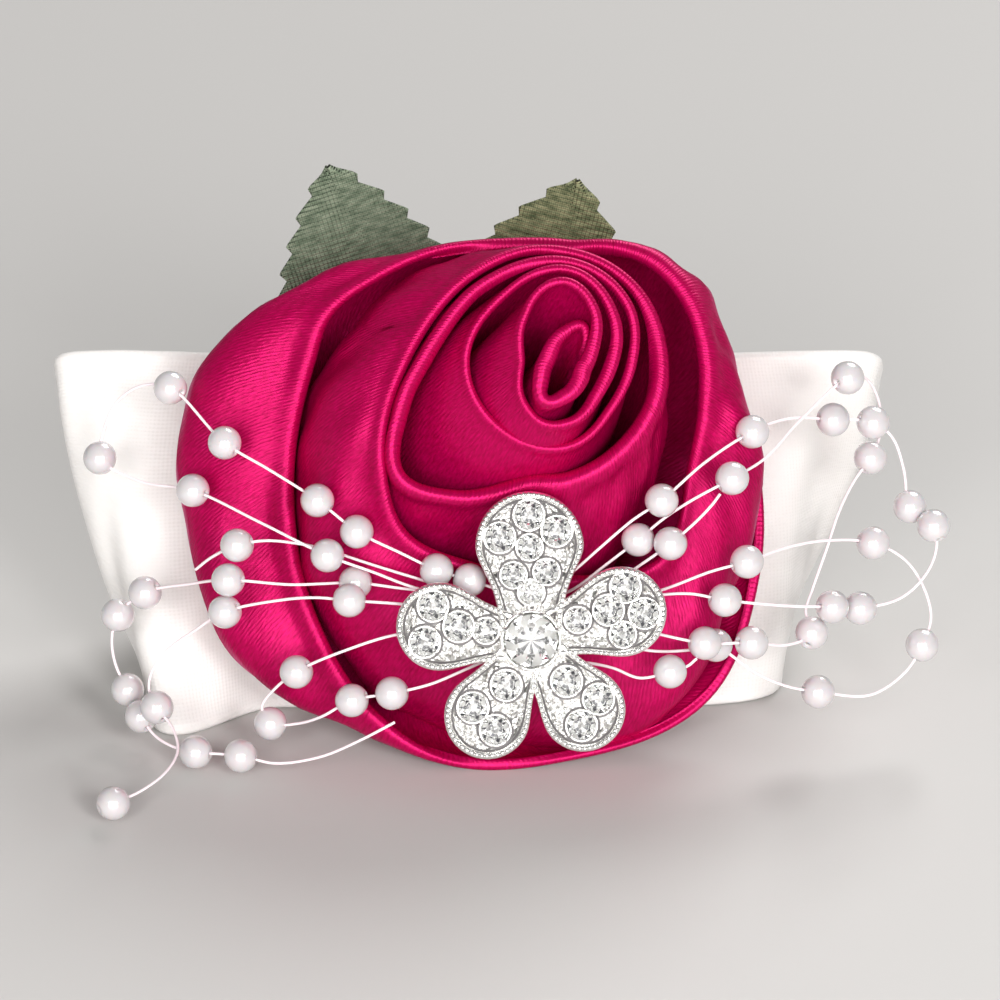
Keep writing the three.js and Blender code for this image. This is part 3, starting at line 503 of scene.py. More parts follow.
# The rim of the spiral, from its eye outwards. Each row: degrees round from the top by the left,
# the rim's distance from the eye, its height, how far the wall bellies out past it, and the
# radius of its soft folded edge.
ROSE_RIM = [
    (285, 1.3, 25.6, 0.1, 0.5), (315, 3.2, 26.6, 0.1, 0.5), (335, 4.4, 27.0, 0.1, 0.55),
    (360, 3.4, 27.4, 0.1, 0.7), (400, 2.05, 27.7, 0.1, 0.95), (450, 2.0, 27.8, 0.1, 1),
    (485, 3.0, 27.9, 0.1, 0.95), (510, 4.55, 27.9, 0.1, 0.8), (540, 3.4, 27.9, 0.1, 0.9),
    (585, 2.2, 27.8, 0.1, 1), (630, 2.15, 27.7, 0.1, 0.95), (665, 3.8, 27.6, 0.1, 0.75),
    (690, 6.4, 27.4, 0.1, 0.6), (720, 8.8, 27.0, 0.3, 0.5), (765, 6.2, 26.9, 2.5, 0.5),
    (810, 4.6, 26.8, 4.0, 0.5), (855, 6.2, 26.6, 3.0, 0.5), (880, 6.9, 26.4, 2.4, 0.5),
    (900, 6.4, 26.2, 2.0, 0.6), (945, 4.6, 26.0, 0.6, 0.75), (990, 4.9, 25.8, 0.3, 0.8),
    (1035, 7.4, 25.6, 0.2, 0.65),
    (1080, 10.2, 25.2, 0.3, 0.5), (1125, 9.6, 25.0, 2.5, 0.5), (1170, 10.6, 24.8, 3.5, 0.5),
    (1215, 10.0, 24.6, 3.0, 0.5), (1260, 9.0, 24.4, 1.2, 0.55), (1305, 6.8, 24.4, 0.6, 0.55),
    (1350, 7.1, 24.4, 0.3, 0.6), (1395, 9.4, 24.2, 0.3, 0.55),
    (1440, 11.1, 24.0, 0.3, 0.6), (1485, 11.8, 24.2, 2.4, 0.8), (1530, 15.0, 24.4, 3.0, 1.0),
    (1545, 17.9, 24.0, 2.4, 1.0), (1565, 21.6, 23.0, 1.6, 0.9), (1580, 18.6, 22.4, 2.0, 0.9),
    (1600, 13.4, 22.2, 4.0, 1.15), (1620, 12.1, 22.6, 6.0, 1.25), (1665, 10.0, 22.8, 5.0, 1.25),
    (1710, 9.7, 23.0, 2.2, 1.15), (1755, 11.0, 22.6, 1.0, 0.7),
    (1800, 12.2, 21.8, 0.6, 0.6), (1845, 13.3, 23.2, 6.0, 0.7), (1890, 17.0, 23.6, 8.0, 0.8),
    (1920, 22.7, 22.4, 7.9, 0.8), (1936, 25.4, 20.0, 9.4, 0.8), (1955, 24.2, 18.5, 12.6, 0.8),
    (1980, 23.4, 17.4, 14.6, 0.8), (2008, 23.2, 17.4, 15.0, 0.8), (2025, 18.3, 18.3, 13.4, 0.9),
    (2050, 15.2, 20.0, 10.8, 1.0), (2070, 14.3, 20.4, 8.6, 1.1), (2090, 14.1, 20.2, 7.6, 1.05),
    (2115, 13.8, 19.6, 6.4, 1.0), (2160, 12.9, 18.2, 1.0, 0.9),
    (2205, 17.3, 18.2, 3.5, 0.75), (2225, 21.9, 17.8, 10.0, 0.85),
    (2240, 26.3, 17.2, 13.8, 0.95), (2250, 27.5, 16.8, 14.6, 1.05), (2275, 33.0, 15.2, 13.0, 1.15),
    (2295, 39.0, 13.8, 10.8, 0.95), (2310, 43.4, 13.3, 6.0, 0.85), (2325, 45.6, 13.2, 1.5, 0.7),
    (2340, 43.4, 12.6, 1.8, 0.6), (2365, 39.3, 11.0, 2.4, 0.6), (2382, 31.4, 9.6, 2.8, 0.6),
    (2400, 24.5, 8.4, 2.4, 0.55), (2425, 18.5, 7.0, 1.2, 0.55),
]
# Soft pleats of the satin: height in millimetres, waves in a turn and up the wall, phase.
PLEATS = [(0.22, 5, 0.8, 0.2), (0.16, 9, -1.1, 0.7), (0.12, 15, 1.6, 0.4), (0.08, 24, -2.2, 0.9)]
# The pleats grow from the tight bud to the loose outer turn: degrees round, share of the height.
PLEAT_GROWTH = [(1300, 0.15), (1450, 1.0), (1800, 1.0), (1950, 1.5)]
# The cut end of a length of satin is sharp: a last row lies this many degrees from it.
CUT_END = 0.1
# The pleats fade out between these shares of the way up from the foot, and these distances in
# millimetres down from the rim.
PLEAT_FOOT_FADE = (0.1, 0.4)
PLEAT_RIM_FADE = (0.5, 4)
# Stations of the rolled edge, in radii of its roll down from the rim, and where those of the wall
# begin. The ribbon's length is measured along one station.
ROLL_STATIONS = np.array([3.4, 2.7, 2.1, 1.55, 1, 0.6, 0.28, 0.07, 0])
ROLL_REACH = 3.6
WALL_STATIONS = 18
MEASURED_STATION = 12
# Degrees round the spiral at which one length of satin ends and the next begins.
BUD_END = 1425
MIDDLE_END = 1875


def bezier(points, t):
    start, low, high, end = (np.asarray(point)[:, None] for point in points)
    t = t[None, :, None]
    return (1 - t) ** 3 * start + 3 * (1 - t) ** 2 * t * low + 3 * (1 - t) * t**2 * high + t**3 * end


def rose_walls(degrees, up):
    """Points of the satin's middle surface: each row runs up the wall, from its foot on the pad,
    round its belly, to its rim."""
    radius, height, belly, _ = along_keys(ROSE_RIM, degrees).T
    angle = np.radians(90 + degrees)
    out = np.stack([np.cos(angle), np.sin(angle), np.zeros_like(angle)], axis=-1)
    foot_radius = FOOT_START_RADIUS + FOOT_PITCH * degrees / 360
    foot = np.array((*ROSE_FOOT_CENTRE, ROSE_FOOT_HEIGHT)) + out * foot_radius[:, None]
    rim = np.array((*ROSE_EYE, 0)) + out * radius[:, None]
    rim[:, 2] = height
    swell = out * belly[:, None] / BELLY_FOLLOWS
    low = foot + BELLY_LOW * (rim - foot) + swell
    high = foot + BELLY_HIGH * (rim - foot) + swell
    return bezier((foot, low, high, rim), up)


def from_rim(walls):
    """Distance down the wall from the rim at each point."""
    steps = np.linalg.norm(np.diff(walls, axis=1), axis=-1)
    down = np.cumsum(steps[:, ::-1], axis=1)[:, ::-1]
    return np.concatenate([down, np.zeros((len(walls), 1))], axis=1)


def respaced(walls, places):
    """Each wall's points at given distances down from its rim."""
    down = from_rim(walls)
    rows = []
    for wall, depth, place in zip(walls, down, places):
        rows.append([np.interp(place, depth[::-1], wall[::-1, k]) for k in range(3)])
    return np.transpose(np.array(rows), (0, 2, 1))


def rose_wrap(name, node, start, end, degrees_step):
    """One length of the satin, between two angles of the spiral."""
    degrees = np.linspace(start, end, int((end - start) / degrees_step) + 1)
    degrees = np.sort(np.append(degrees, (start + CUT_END, end - CUT_END)))
    walls = rose_walls(degrees, np.linspace(0, 1, 90))
    length = from_rim(walls)[:, 0]
    roll = along_keys(ROSE_RIM, degrees)[:, 3]
    share = np.linspace(1, 0, WALL_STATIONS, endpoint=False) ** 1.15
    wall = ROLL_REACH * roll[:, None] + (length - ROLL_REACH * roll)[:, None] * share[None]
    places = np.concatenate([wall, roll[:, None] * ROLL_STATIONS[None]], axis=1)
    middle = respaced(walls, places)
    up = 1 - places / length[:, None]
    hold = smoothstep(up, *PLEAT_FOOT_FADE) * smoothstep(places, *PLEAT_RIM_FADE)
    growth = np.interp(degrees, *np.transpose(PLEAT_GROWTH))[:, None]
    folds = growth * ripple(degrees[:, None] / 360, up, PLEATS) * hold
    middle = middle + surface_normals(middle) * folds[..., None]
    half = rolled_half(places, roll[:, None], SATIN_HALF)
    half[:, 0] = 0
    turn_length = lengths_along(middle[:, MEASURED_STATION])
    uv = np.stack(np.broadcast_arrays(turn_length[:, None], places), axis=-1)
    wrap = cloth_piece(name, on_face(middle), MM * half, uv, ROSE_SATIN)
    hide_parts(node)
    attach(wrap, BODY)


rose_wrap("rose_bud_satin", "rose_bud", ROSE_RIM[0][0], BUD_END, 4)
rose_wrap("rose_middle_satin", "rose_middle_wrap", BUD_END, MIDDLE_END, 2)
rose_wrap("rose_outer_satin", "rose_outer_wrap", MIDDLE_END, ROSE_RIM[-1][0], 1.5)


# Pearl strands

THREAD_DIAMETER = 0.32
PEARL_RADIUS = 1.85
ROUTE_STEPS = 8
PEARL = True
# Each strand's route, given on the face of the corsage: x, v and h. A point marked
# PEARL carries a bead. Loops end back in the object, the others end free.
STRANDS = {
    "left_upper": ("object", [
        (4.1, 13.5, 20.5), (0.2, 14.8, 20.7, PEARL), (-3.4, 15.9, 21.1, PEARL), (-7.4, 17.8, 21.5),
        (-10.4, 19.2, 22.0), (-12.1, 20.1, 22.0, PEARL), (-16.4, 23.5, 22.0, PEARL),
        (-21.6, 26.8, 20.8), (-26.6, 29.8, 19.5, PEARL), (-32.8, 35.9, 14.0, PEARL),
        (-36.3, 36.1, 11.5), (-39.1, 34.1, 10.0), (-40.5, 30.7, 9.5), (-40.8, 28.2, 9.5, PEARL),
        (-36.2, 25.6, 12.0), (-30.2, 24.6, 16.5, PEARL), (-22.7, 21.1, 20.5),
        (-15.3, 17.5, 22.5, PEARL), (-10.1, 15.6, 22.0), (-6.8, 14.3, 21.2), (-3.0, 13.1, 20.8),
    ]),
    "left_outer": ("object", [
        (0.2, 12.6, 20.2), (-4.1, 13.5, 20.0), (-7.4, 13.9, 20.0), (-12.3, 14.5, 19.8, PEARL),
        (-15.6, 14.4, 19.6), (-19.4, 14.3, 20.4), (-26.2, 14.8, 19.8, PEARL), (-30.6, 14.3, 15.5),
        (-35.7, 13.3, 11.5, PEARL), (-38.8, 10.8, 10.0, PEARL), (-39.5, 8.0, 9.0), (-39.1, 5.2, 8.3),
        (-37.8, 2.5, 8.0, PEARL), (-36.2, -0.4, 10.0, PEARL), (-34.7, -2.4, 11.5),
        (-32.7, -3.6, 12.8), (-30.0, -4.2, 14.2, PEARL), (-25.0, -4.6, 15.0, PEARL),
        (-21.2, -5.4, 15.6), (-16.3, -4.7, 16.0), (-11.8, -2.8, 17.5), (-8.0, -0.8, 18.5),
    ]),
    "left_trailing": ("knot", [
        (0.2, 11.0, 20.6), (-4.1, 11.8, 21.0), (-7.4, 12.2, 21.6), (-12.9, 12.6, 22.8, PEARL),
        (-16.6, 12.9, 22.0), (-20.5, 12.6, 20.8), (-26.6, 11.3, 18.2, PEARL), (-30.0, 9.2, 15.5),
        (-33.1, 7.0, 13.2), (-34.9, 4.6, 12.4), (-35.2, 2.6, 12.6), (-34.3, 0.7, 13.4, PEARL),
        (-32.5, -1.5, 15.5), (-31.8, -3.9, 18.0), (-33.0, -6.2, 21.0), (-35.7, -8.2, 23.5),
        (-38.5, -9.4, 24.6, PEARL),
    ]),
    "left_lower": ("object", [
        (1.3, 8.2, 20.6), (-3.0, 8.9, 20.8), (-7.4, 8.9, 21.0), (-13.4, 7.1, 20.2),
        (-18.8, 4.7, 17.5, PEARL), (-21.6, 2.4, 15.2), (-22.7, 0.7, 13.8),
        (-21.8, -1.1, 13.0, PEARL), (-19.0, -1.1, 14.5), (-16.0, -0.2, 17.0),
        (-12.7, 1.6, 18.5, PEARL), (-8.3, 2.4, 19.5, PEARL), (-4.1, 3.4, 19.8), (-0.3, 5.0, 20.3),
        (3.0, 6.5, 20.6),
    ]),
    "left_short": ("bare", [
        (0.2, 12.9, 18.6), (-4.1, 14.5, 19.4), (-8.0, 15.7, 19.7), (-11.8, 16.9, 19.7),
        (-15.4, 18.1, 19.6), (-18.7, 18.8, 19.8), (-22.1, 19.1, 20.5), (-25.2, 18.6, 20.6, PEARL),
        (-28.0, 17.3, 18.5), (-29.9, 15.9, 16.5),
    ]),
    "right_upper": ("object", [
        (8.4, 13.5, 20.6), (11.2, 15.5, 21.0), (14.4, 18.3, 21.8), (17.9, 21.3, 22.6),
        (21.1, 23.5, 23.8, PEARL), (25.8, 27.6, 23.0), (31.1, 31.0, 20.1, PEARL), (35.4, 32.5, 16.5),
        (40.2, 32.4, 14.0, PEARL), (44.7, 32.1, 12.5, PEARL), (46.9, 30.4, 11.5), (48.2, 26.9, 10.4),
        (48.9, 22.8, 10.0, PEARL), (51.4, 20.7, 11.9, PEARL), (51.7, 18.2, 12.2), (50.5, 15.3, 12.5),
        (47.7, 12.7, 12.4), (43.3, 11.6, 12.2, PEARL), (40.1, 11.8, 14.4, PEARL), (35.3, 11.9, 17.0),
        (28.1, 12.6, 20.0, PEARL), (24.3, 13.3, 20.8), (20.4, 13.1, 21.0), (16.1, 12.3, 20.8),
    ]),
    "right_middle": ("object", [
        (8.8, 12.6, 19.9), (11.7, 13.9, 20.2), (15.0, 16.4, 20.4), (18.6, 19.2, 20.8, PEARL),
        (21.5, 21.6, 21.6), (24.4, 23.5, 22.6), (28.8, 25.9, 23.0, PEARL), (32.5, 28.1, 20.5),
        (36.5, 32.3, 16.5), (41.8, 37.0, 14.0, PEARL), (44.2, 36.8, 10.8), (45.6, 34.1, 9.0),
        (45.6, 30.7, 9.3), (44.5, 28.2, 10.5, PEARL), (42.7, 25.7, 11.5), (41.0, 22.4, 12.5),
        (39.5, 18.0, 13.0), (38.0, 13.6, 12.0), (37.3, 11.2, 11.9), (37.9, 8.9, 12.8, PEARL),
        (35.2, 7.6, 15.0), (31.1, 7.9, 18.0, PEARL), (25.9, 7.9, 20.2, PEARL), (20.4, 9.0, 20.6),
        (16.6, 9.9, 20.4),
    ]),
    "right_outer": ("object", [
        (13.4, 11.5, 19.6), (17.7, 12.6, 19.5), (22.1, 14.0, 19.6), (26.5, 15.7, 20.2),
        (30.5, 16.8, 20.4, PEARL), (35.3, 18.4, 17.0), (39.8, 19.1, 14.5), (44.7, 18.8, 12.5, PEARL),
        (48.3, 16.9, 11.5), (50.4, 13.8, 10.8), (51.2, 10.5, 10.5), (50.2, 7.5, 10.8, PEARL),
        (48.3, 4.5, 11.2), (44.4, 2.0, 11.8), (38.6, 2.4, 13.0, PEARL), (34.9, 3.1, 14.5),
        (31.5, 4.6, 15.6), (29.3, 6.2, 16.0), (27.2, 7.6, 16.4, PEARL), (24.4, 7.1, 17.5),
        (20.5, 7.0, 19.0), (16.6, 7.7, 19.6),
    ]),
    "right_short": ("bare", [
        (-1.4, 9.5, 19.3), (3.5, 10.4, 19.2), (8.8, 11.5, 19.2), (12.3, 12.6, 19.4),
        (15.5, 14.2, 19.8), (18.8, 16.4, 20.4), (22.1, 18.8, 22.4, PEARL), (24.8, 21.1, 22.4),
        (26.6, 23.0, 22.8), (27.5, 24.2, 22.9),
    ]),
    "right_lower": ("bare", [
        (-5.2, 7.1, 19.8), (-0.3, 6.4, 19.5), (3.5, 6.0, 19.4), (7.9, 5.6, 19.5), (12.3, 5.8, 19.8),
        (15.8, 5.2, 20.3), (18.8, 4.1, 20.6), (22.1, 4.8, 20.6, PEARL), (24.0, 5.4, 20.4),
        (25.0, 6.2, 20.2),
    ]),
}


def smooth_route(points):
    """A smooth line through the points, and its direction at each of them."""
    points = np.array([point[:3] for point in points])
    before = 2 * points[0] - points[1]
    after = 2 * points[-1] - points[-2]
    ends = np.vstack([before, points, after])
    gaps = np.sqrt(np.linalg.norm(np.diff(ends, axis=0), axis=1))[:, None]
    slopes = np.diff(ends, axis=0) / gaps
    chords = (ends[2:] - ends[:-2]) / (gaps[1:] + gaps[:-1])
    tangents = slopes[:-1] - chords + slopes[1:]
    line = []
    for i in range(len(points) - 1):
        span = gaps[i + 1]
        rise = points[i + 1] - points[i]
        for t in np.arange(ROUTE_STEPS) / ROUTE_STEPS:
            line.append(cubic(t, points[i], rise, tangents[i] * span, tangents[i + 1] * span))
    line.append(points[-1])
    return np.array(line), tangents


def thread_piece(name, line):
    curve = bpy.data.curves.new(name, "CURVE")
    curve.dimensions = "3D"
    curve.bevel_depth = MM * THREAD_DIAMETER / 2
    curve.bevel_resolution = 3
    curve.use_fill_caps = True
    spline = curve.splines.new("POLY")
    spline.points.add(len(line) - 1)
    spline.points.foreach_set("co", np.column_stack([line, np.ones(len(line))]).ravel())
    curve.materials.append(STRAND_THREAD)
    thread = bpy.data.objects.new(name, curve)
    bpy.context.collection.objects.link(thread)
    return thread


def turned(profile, segments):
    """A profile of radius and height turned round the z axis: points and faces."""
    angle = np.linspace(0, 2 * math.pi, segments, endpoint=False)
    radius, height = np.array(profile, float).T
    points = np.stack([
        np.outer(radius, np.cos(angle)), np.outer(radius, np.sin(angle)),
        np.repeat(height[:, None], segments, axis=1),
    ], axis=-1)
    return points.reshape(-1, 3), ring_faces(len(profile), segments)


def bored_pearl():
    """A round bead with a fine hole through it, whose mouths are a little worn."""
    hole = 0.24
    worn_radius = 0.5
    worn_depth = 0.2
    mouth = math.asin(worn_radius / PEARL_RADIUS)
    arc = np.linspace(mouth, math.pi - mouth, 20)
    shell = [(PEARL_RADIUS * math.sin(a), PEARL_RADIUS * math.cos(a)) for a in arc]
    deep = PEARL_RADIUS * math.cos(mouth) - worn_depth
    profile = [(hole, deep), *shell, (hole, -deep), (hole, deep)]
    return turned(profile, 28)


class Mesher:
    """Collects copies of simple forms into one mesh, each with the number of its material."""

    def __init__(self):
        self.points = []
        self.faces = []
        self.slots = []
        self.count = 0

    def add(self, points, faces, slot=0):
        self.points.append(np.asarray(points, float))
        self.faces.extend(tuple(corner + self.count for corner in face) for face in faces)
        self.slots.extend([slot] * len(faces))
        self.count += len(points)

    def piece(self, name, *materials):
        made = mesh_piece(name, on_face(np.vstack(self.points)), self.faces, materials[0])
        for material in materials[1:]:
            made.data.materials.append(material)
        made.data.polygons.foreach_set("material_index", self.slots)
        return made


def facing(direction):
    """The turn that points +z along a direction, as a matrix for row points."""
    return np.array(Vector(direction).to_track_quat("Z", "Y").to_matrix()).T


def pearl_strand(name, route):
    line, tangents = smooth_route(route)
    thread = thread_piece(f"thread_{name}", on_face(line))
    bead_points, bead_faces = bored_pearl()
    beads = Mesher()
    for point, tangent in zip(route, tangents):
        if len(point) == 4:
            beads.add(bead_points @ facing(tangent) + np.array(point[:3]), bead_faces)
    pearls = beads.piece(f"pearls_{name}", PEARL_SHELL)
    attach(thread, BODY)
    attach(pearls, BODY)
    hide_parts(f"pearl_strand_{name}")


for strand, (far_end, route) in STRANDS.items():
    pearl_strand(strand, route)


# Brooch

BROOCH_CENTRE = np.array((6.9, 8.3))
BROOCH_BACK = 22.9
PLATE_THICKNESS = 1.2
RIM_TOP = 1.9
RIM_WIDTH = 0.8
CUP_HEIGHT = 2.2
CUP_RADIUS = 3.5
SEAT_DEPTH = 0.5
STONE_SEAT_GAP = 0.3
CENTRE_STONE_RADIUS = 2.85
STONE_RADIUS = 1.55
ACCENT_RADIUS = 1.3
MILGRAIN_RADIUS = 0.27
MILGRAIN_PITCH = 0.56
MILGRAIN_INSET = 0.36
GRAIN_TRIES = 900
GRAIN_RADII = (0.16, 0.32)
GRAIN_CLEAR_OF_STONE = 0.55
GRAIN_SPACING = 0.85
# Numbers of the materials of the setting: polished metal, the rough bed painted darker as shade, and
# flat dark paint for the shade in the grooves round the stones and on the rims' inner walls.
POLISHED = 0
ROUGH_SHADED_BED = 1
PAINTED_SHADE = 2
# Each petal: its direction, length, greatest width and neck, and its stones' distance along it,
# distance across it and radius.
PETALS = {
    "top": (91, 16.2, 11.8, 6.6, [
        (13.6, 0, STONE_RADIUS), (11.2, 3.2, STONE_RADIUS), (11.8, -3.0, STONE_RADIUS),
        (10.1, 0, ACCENT_RADIUS), (7.1, 1.8, ACCENT_RADIUS), (7.4, -1.8, ACCENT_RADIUS),
    ]),
    "right": (17.5, 15.2, 9.8, 5, [
        (12.6, -0.9, STONE_RADIUS), (11.5, 2.4, STONE_RADIUS), (9.7, -2.4, ACCENT_RADIUS),
        (9.0, 0.6, STONE_RADIUS), (5.5, 0.6, ACCENT_RADIUS),
    ]),
    "left": (171.5, 14.8, 9.6, 5, [
        (11.4, 1.9, STONE_RADIUS), (11.1, -2.1, STONE_RADIUS), (8.0, -0.3, STONE_RADIUS),
        (5.0, -0.3, ACCENT_RADIUS),
    ]),
    "lower_left": (240, 14.2, 9.4, 5, [
        (5.6, 0.1, STONE_RADIUS), (10.4, 1.5, STONE_RADIUS), (9.5, -1.8, STONE_RADIUS),
    ]),
    "lower_right": (307, 14, 9.2, 5, [
        (5.9, 0.4, STONE_RADIUS), (9.5, 2.0, STONE_RADIUS), (10.7, -1.2, STONE_RADIUS),
    ]),
}
# The small stone set at the root of the top petal: its distance along and across.
TOP_SMALL_STONE = (5.2, -0.1)


def petal_outline(length, width, neck, inset):
    """A petal's edge, from one side of its neck round its end to the other, moved inwards."""
    length, width, neck = length - inset, width - 2 * inset, neck - 2 * inset
    end = length - width / 2
    t = np.linspace(0, 1, 14)
    side = ((0, -neck / 2), (length * 0.4, -neck / 2), (length * 0.5, -width / 2), (end, -width / 2))
    flank = bezier([[point] for point in side], t)[0]
    angle = np.linspace(-math.pi / 2, math.pi / 2, 30)[1:-1]
    tip = np.column_stack([end + width / 2 * np.cos(angle), width / 2 * np.sin(angle)])
    return np.vstack([flank, tip, (flank * (1, -1))[::-1]])


def turned_to(points, degrees):
    """Points of a petal, brought from its own axis to its direction on the brooch."""
    return spun(points, math.radians(degrees)) + BROOCH_CENTRE


def at_height(points, height):
    return np.column_stack([points, np.full(len(points), BROOCH_BACK + height)])


def petal_plate(mesher, angle, length, width, neck):
    """The petal's back, its outer wall, its rounded rim and its sunken bed."""
    steps = [
        (0.15, 0), (0, 0.15), (0, RIM_TOP - 0.3), (0.1, RIM_TOP - 0.08), (0.35, RIM_TOP),
        (0.62, RIM_TOP - 0.08), (0.75, RIM_TOP - 0.3), (RIM_WIDTH + 0.2, PLATE_THICKNESS),
    ]
    rings = [
        at_height(turned_to(petal_outline(length, width, neck, inset), angle), height)
        for inset, height in steps
    ]
    count = len(rings[0])
    back = tuple(range(count))[::-1]
    bed = tuple(range((len(rings) - 1) * count, len(rings) * count))
    mesher.add(np.vstack(rings), [back, *ring_faces(len(rings), count), bed], POLISHED)
    # The bed takes the rough metal that is painted darker as shade between its grains and stones.
    mesher.slots[-1] = ROUGH_SHADED_BED
    # The rim's inner wall down to the bed is painted dark as shade.
    mesher.slots[-1 - count:-1] = [PAINTED_SHADE] * count


def ball(radius, segments):
    angles = np.linspace(0.02, math.pi - 0.02, 7)
    return turned([(radius * math.sin(a), radius * math.cos(a)) for a in angles], segments)


def along_line(line, spacing):
    """Points at even spacing along a flat line."""
    place = lengths_along(line)
    at = np.linspace(0, place[-1], int(place[-1] / spacing) + 1)
    return np.column_stack([np.interp(at, place, line[:, k]) for k in range(2)])


def milgrain(mesher, angle, length, width, neck):
    """A row of fine beads along the top of the petal's rim."""
    points, faces = ball(MILGRAIN_RADIUS, 8)
    line = turned_to(petal_outline(length, width, neck, MILGRAIN_INSET), angle)
    for place in along_line(line, MILGRAIN_PITCH):
        if np.linalg.norm(place - BROOCH_CENTRE) > CUP_RADIUS + 0.3:
            mesher.add(points + (*place, BROOCH_BACK + RIM_TOP), faces)


def inside(point, outline):
    """Whether a flat point lies within a closed outline."""
    x, y = point
    ahead = np.roll(outline, -1, axis=0)
    crosses = (outline[:, 1] > y) != (ahead[:, 1] > y)
    drop = np.where(ahead[:, 1] == outline[:, 1], 1, ahead[:, 1] - outline[:, 1])
    at = outline[:, 0] + (y - outline[:, 1]) * (ahead[:, 0] - outline[:, 0]) / drop
    return np.count_nonzero(crosses & (x < at)) % 2 == 1


def grains(mesher, chance, angle, length, width, neck, stones):
    """Small raised grains of metal that fill the bed between the stones."""
    edge = petal_outline(length, width, neck, RIM_WIDTH + 0.4)
    kept = []
    for _ in range(GRAIN_TRIES):
        point = np.array((chance.uniform(3, length), chance.uniform(-width / 2, width / 2)))
        radius = chance.uniform(*GRAIN_RADII)
        if not inside(point, edge):
            continue
        if any(np.hypot(point[0] - a, point[1] - b) < r + GRAIN_CLEAR_OF_STONE for a, b, r in stones):
            continue
        if all(np.linalg.norm(point - other) > GRAIN_SPACING * (radius + size) for other, size in kept):
            kept.append((point, radius))
    for point, radius in kept:
        place = turned_to([point], angle)[0]
        points, faces = ball(radius, 8)
        mesher.add(points * (1, 1, 0.7) + (*place, BROOCH_BACK + PLATE_THICKNESS), faces)


def claws(mesher, form, count, place, radius, height):
    """A ring of claws, all of one form, over a stone's edge."""
    points, faces = form
    for step in range(count):
        angle = (2 * step + 1) * math.pi / count
        spot = place + radius * np.array((math.cos(angle), math.sin(angle)))
        mesher.add(points + (*spot, BROOCH_BACK + height), faces)


def stone_collar(mesher, place, radius, floor):
    """A thin collar round a stone, on a flat ring painted dark as the shade of a groove, and four claws
    over the stone's edge.
    """
    girdle = floor + STONE_SEAT_GAP + 0.55 * radius
    # A flat ring on the bed round the stone, painted dark as the shade of a groove.
    groove_shade_ring = [(radius + 0.5, PLATE_THICKNESS + 0.03), (radius + 0.25, PLATE_THICKNESS + 0.03)]
    points, faces = turned(groove_shade_ring, 32)
    mesher.add(points + (*place, BROOCH_BACK), faces, PAINTED_SHADE)
    wall = [
        (radius + 0.28, floor), (radius + 0.26, girdle), (radius + 0.14, girdle + 0.08),
        (radius + 0.03, girdle), (radius + 0.03, floor),
    ]
    points, faces = turned(wall, 32)
    mesher.add(points + (*place, BROOCH_BACK), faces)
    claws(mesher, ball(0.17 * radius**0.5 + 0.06, 8), 4, place, radius - 0.02, girdle + 0.12)


def centre_cup(mesher):
    """The raised cup of the centre stone, with a crown of claws."""
    rim = CUP_HEIGHT
    seat_radius = CUP_RADIUS - 0.55
    wall = [
        (0.3, 0.2), (CUP_RADIUS, 0.2), (CUP_RADIUS, 1.3), (CUP_RADIUS - 0.1, rim),
        (CUP_RADIUS - 0.2, rim + 0.9), (CUP_RADIUS - 0.35, rim + 1.02), (seat_radius + 0.05, rim + 0.9),
        (seat_radius, rim - SEAT_DEPTH), (0.3, rim - SEAT_DEPTH),
    ]
    points, faces = turned(wall, 48)
    mesher.add(points + (*BROOCH_CENTRE, BROOCH_BACK), faces)
    points, faces = ball(0.38, 10)
    claws(mesher, (points * (1, 1, 1.2), faces), 8, BROOCH_CENTRE, seat_radius, rim + 1.05)


def brilliant(radius):
    """A round brilliant stone: its crown facets, then its pavilion facets."""
    table = [(0.56, 0.95, 45 * k) for k in range(8)]
    middle = [(0.82, 0.78, 45 * k + 22.5) for k in range(8)]
    edge = [(1, 0.55, 22.5 * k) for k in range(16)]
    below = [(0.5, 0.23, 22.5 * k + 11.25) for k in range(16)]
    corners = table + middle + edge + below + [(0, 0.01, 0)]
    points = [
        (radius * r * math.cos(math.radians(a)), radius * r * math.sin(math.radians(a)), radius * h)
        for r, h, a in corners
    ]
    crown = [tuple(range(8))]
    for k in range(8):
        kite = 8 + k
        first, second, third = (16 + (2 * k + step) % 16 for step in range(3))
        crown.append((kite, (k + 1) % 8, k))
        crown.append((k, 8 + (k - 1) % 8, first))
        crown.append((k, first, kite))
        crown.append((kite, first, second))
        crown.append((kite, second, third))
    pavilion = []
    for k in range(16):
        after = (k + 1) % 16
        pavilion.append((16 + k, 32 + k, 16 + after))
        pavilion.append((16 + after, 32 + k, 32 + after))
        pavilion.append((32 + k, 48, 32 + after))
    return np.array(points), crown, pavilion


def stone_piece(name, place, radius, floor, turn, backs, facets_each=1):
    """A stone with its pavilion facets backed by turns with the materials given, so many facets each:
    backs that paint in glints and dark reflections, or mirror foil.
    """
    points, crown, pavilion = brilliant(radius)
    points[:, :2] = spun(points[:, :2], turn)
    points += (*place, BROOCH_BACK + floor + STONE_SEAT_GAP)
    stone = mesh_piece(name, on_face(points), crown + pavilion, STONE_GLASS, smooth=False)
    for back in backs:
        stone.data.materials.append(back)
    for face in stone.data.polygons:
        if face.index >= len(crown):
            face.material_index = 1 + (face.index - len(crown)) // facets_each % len(backs)
    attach(stone, BODY)
    return stone


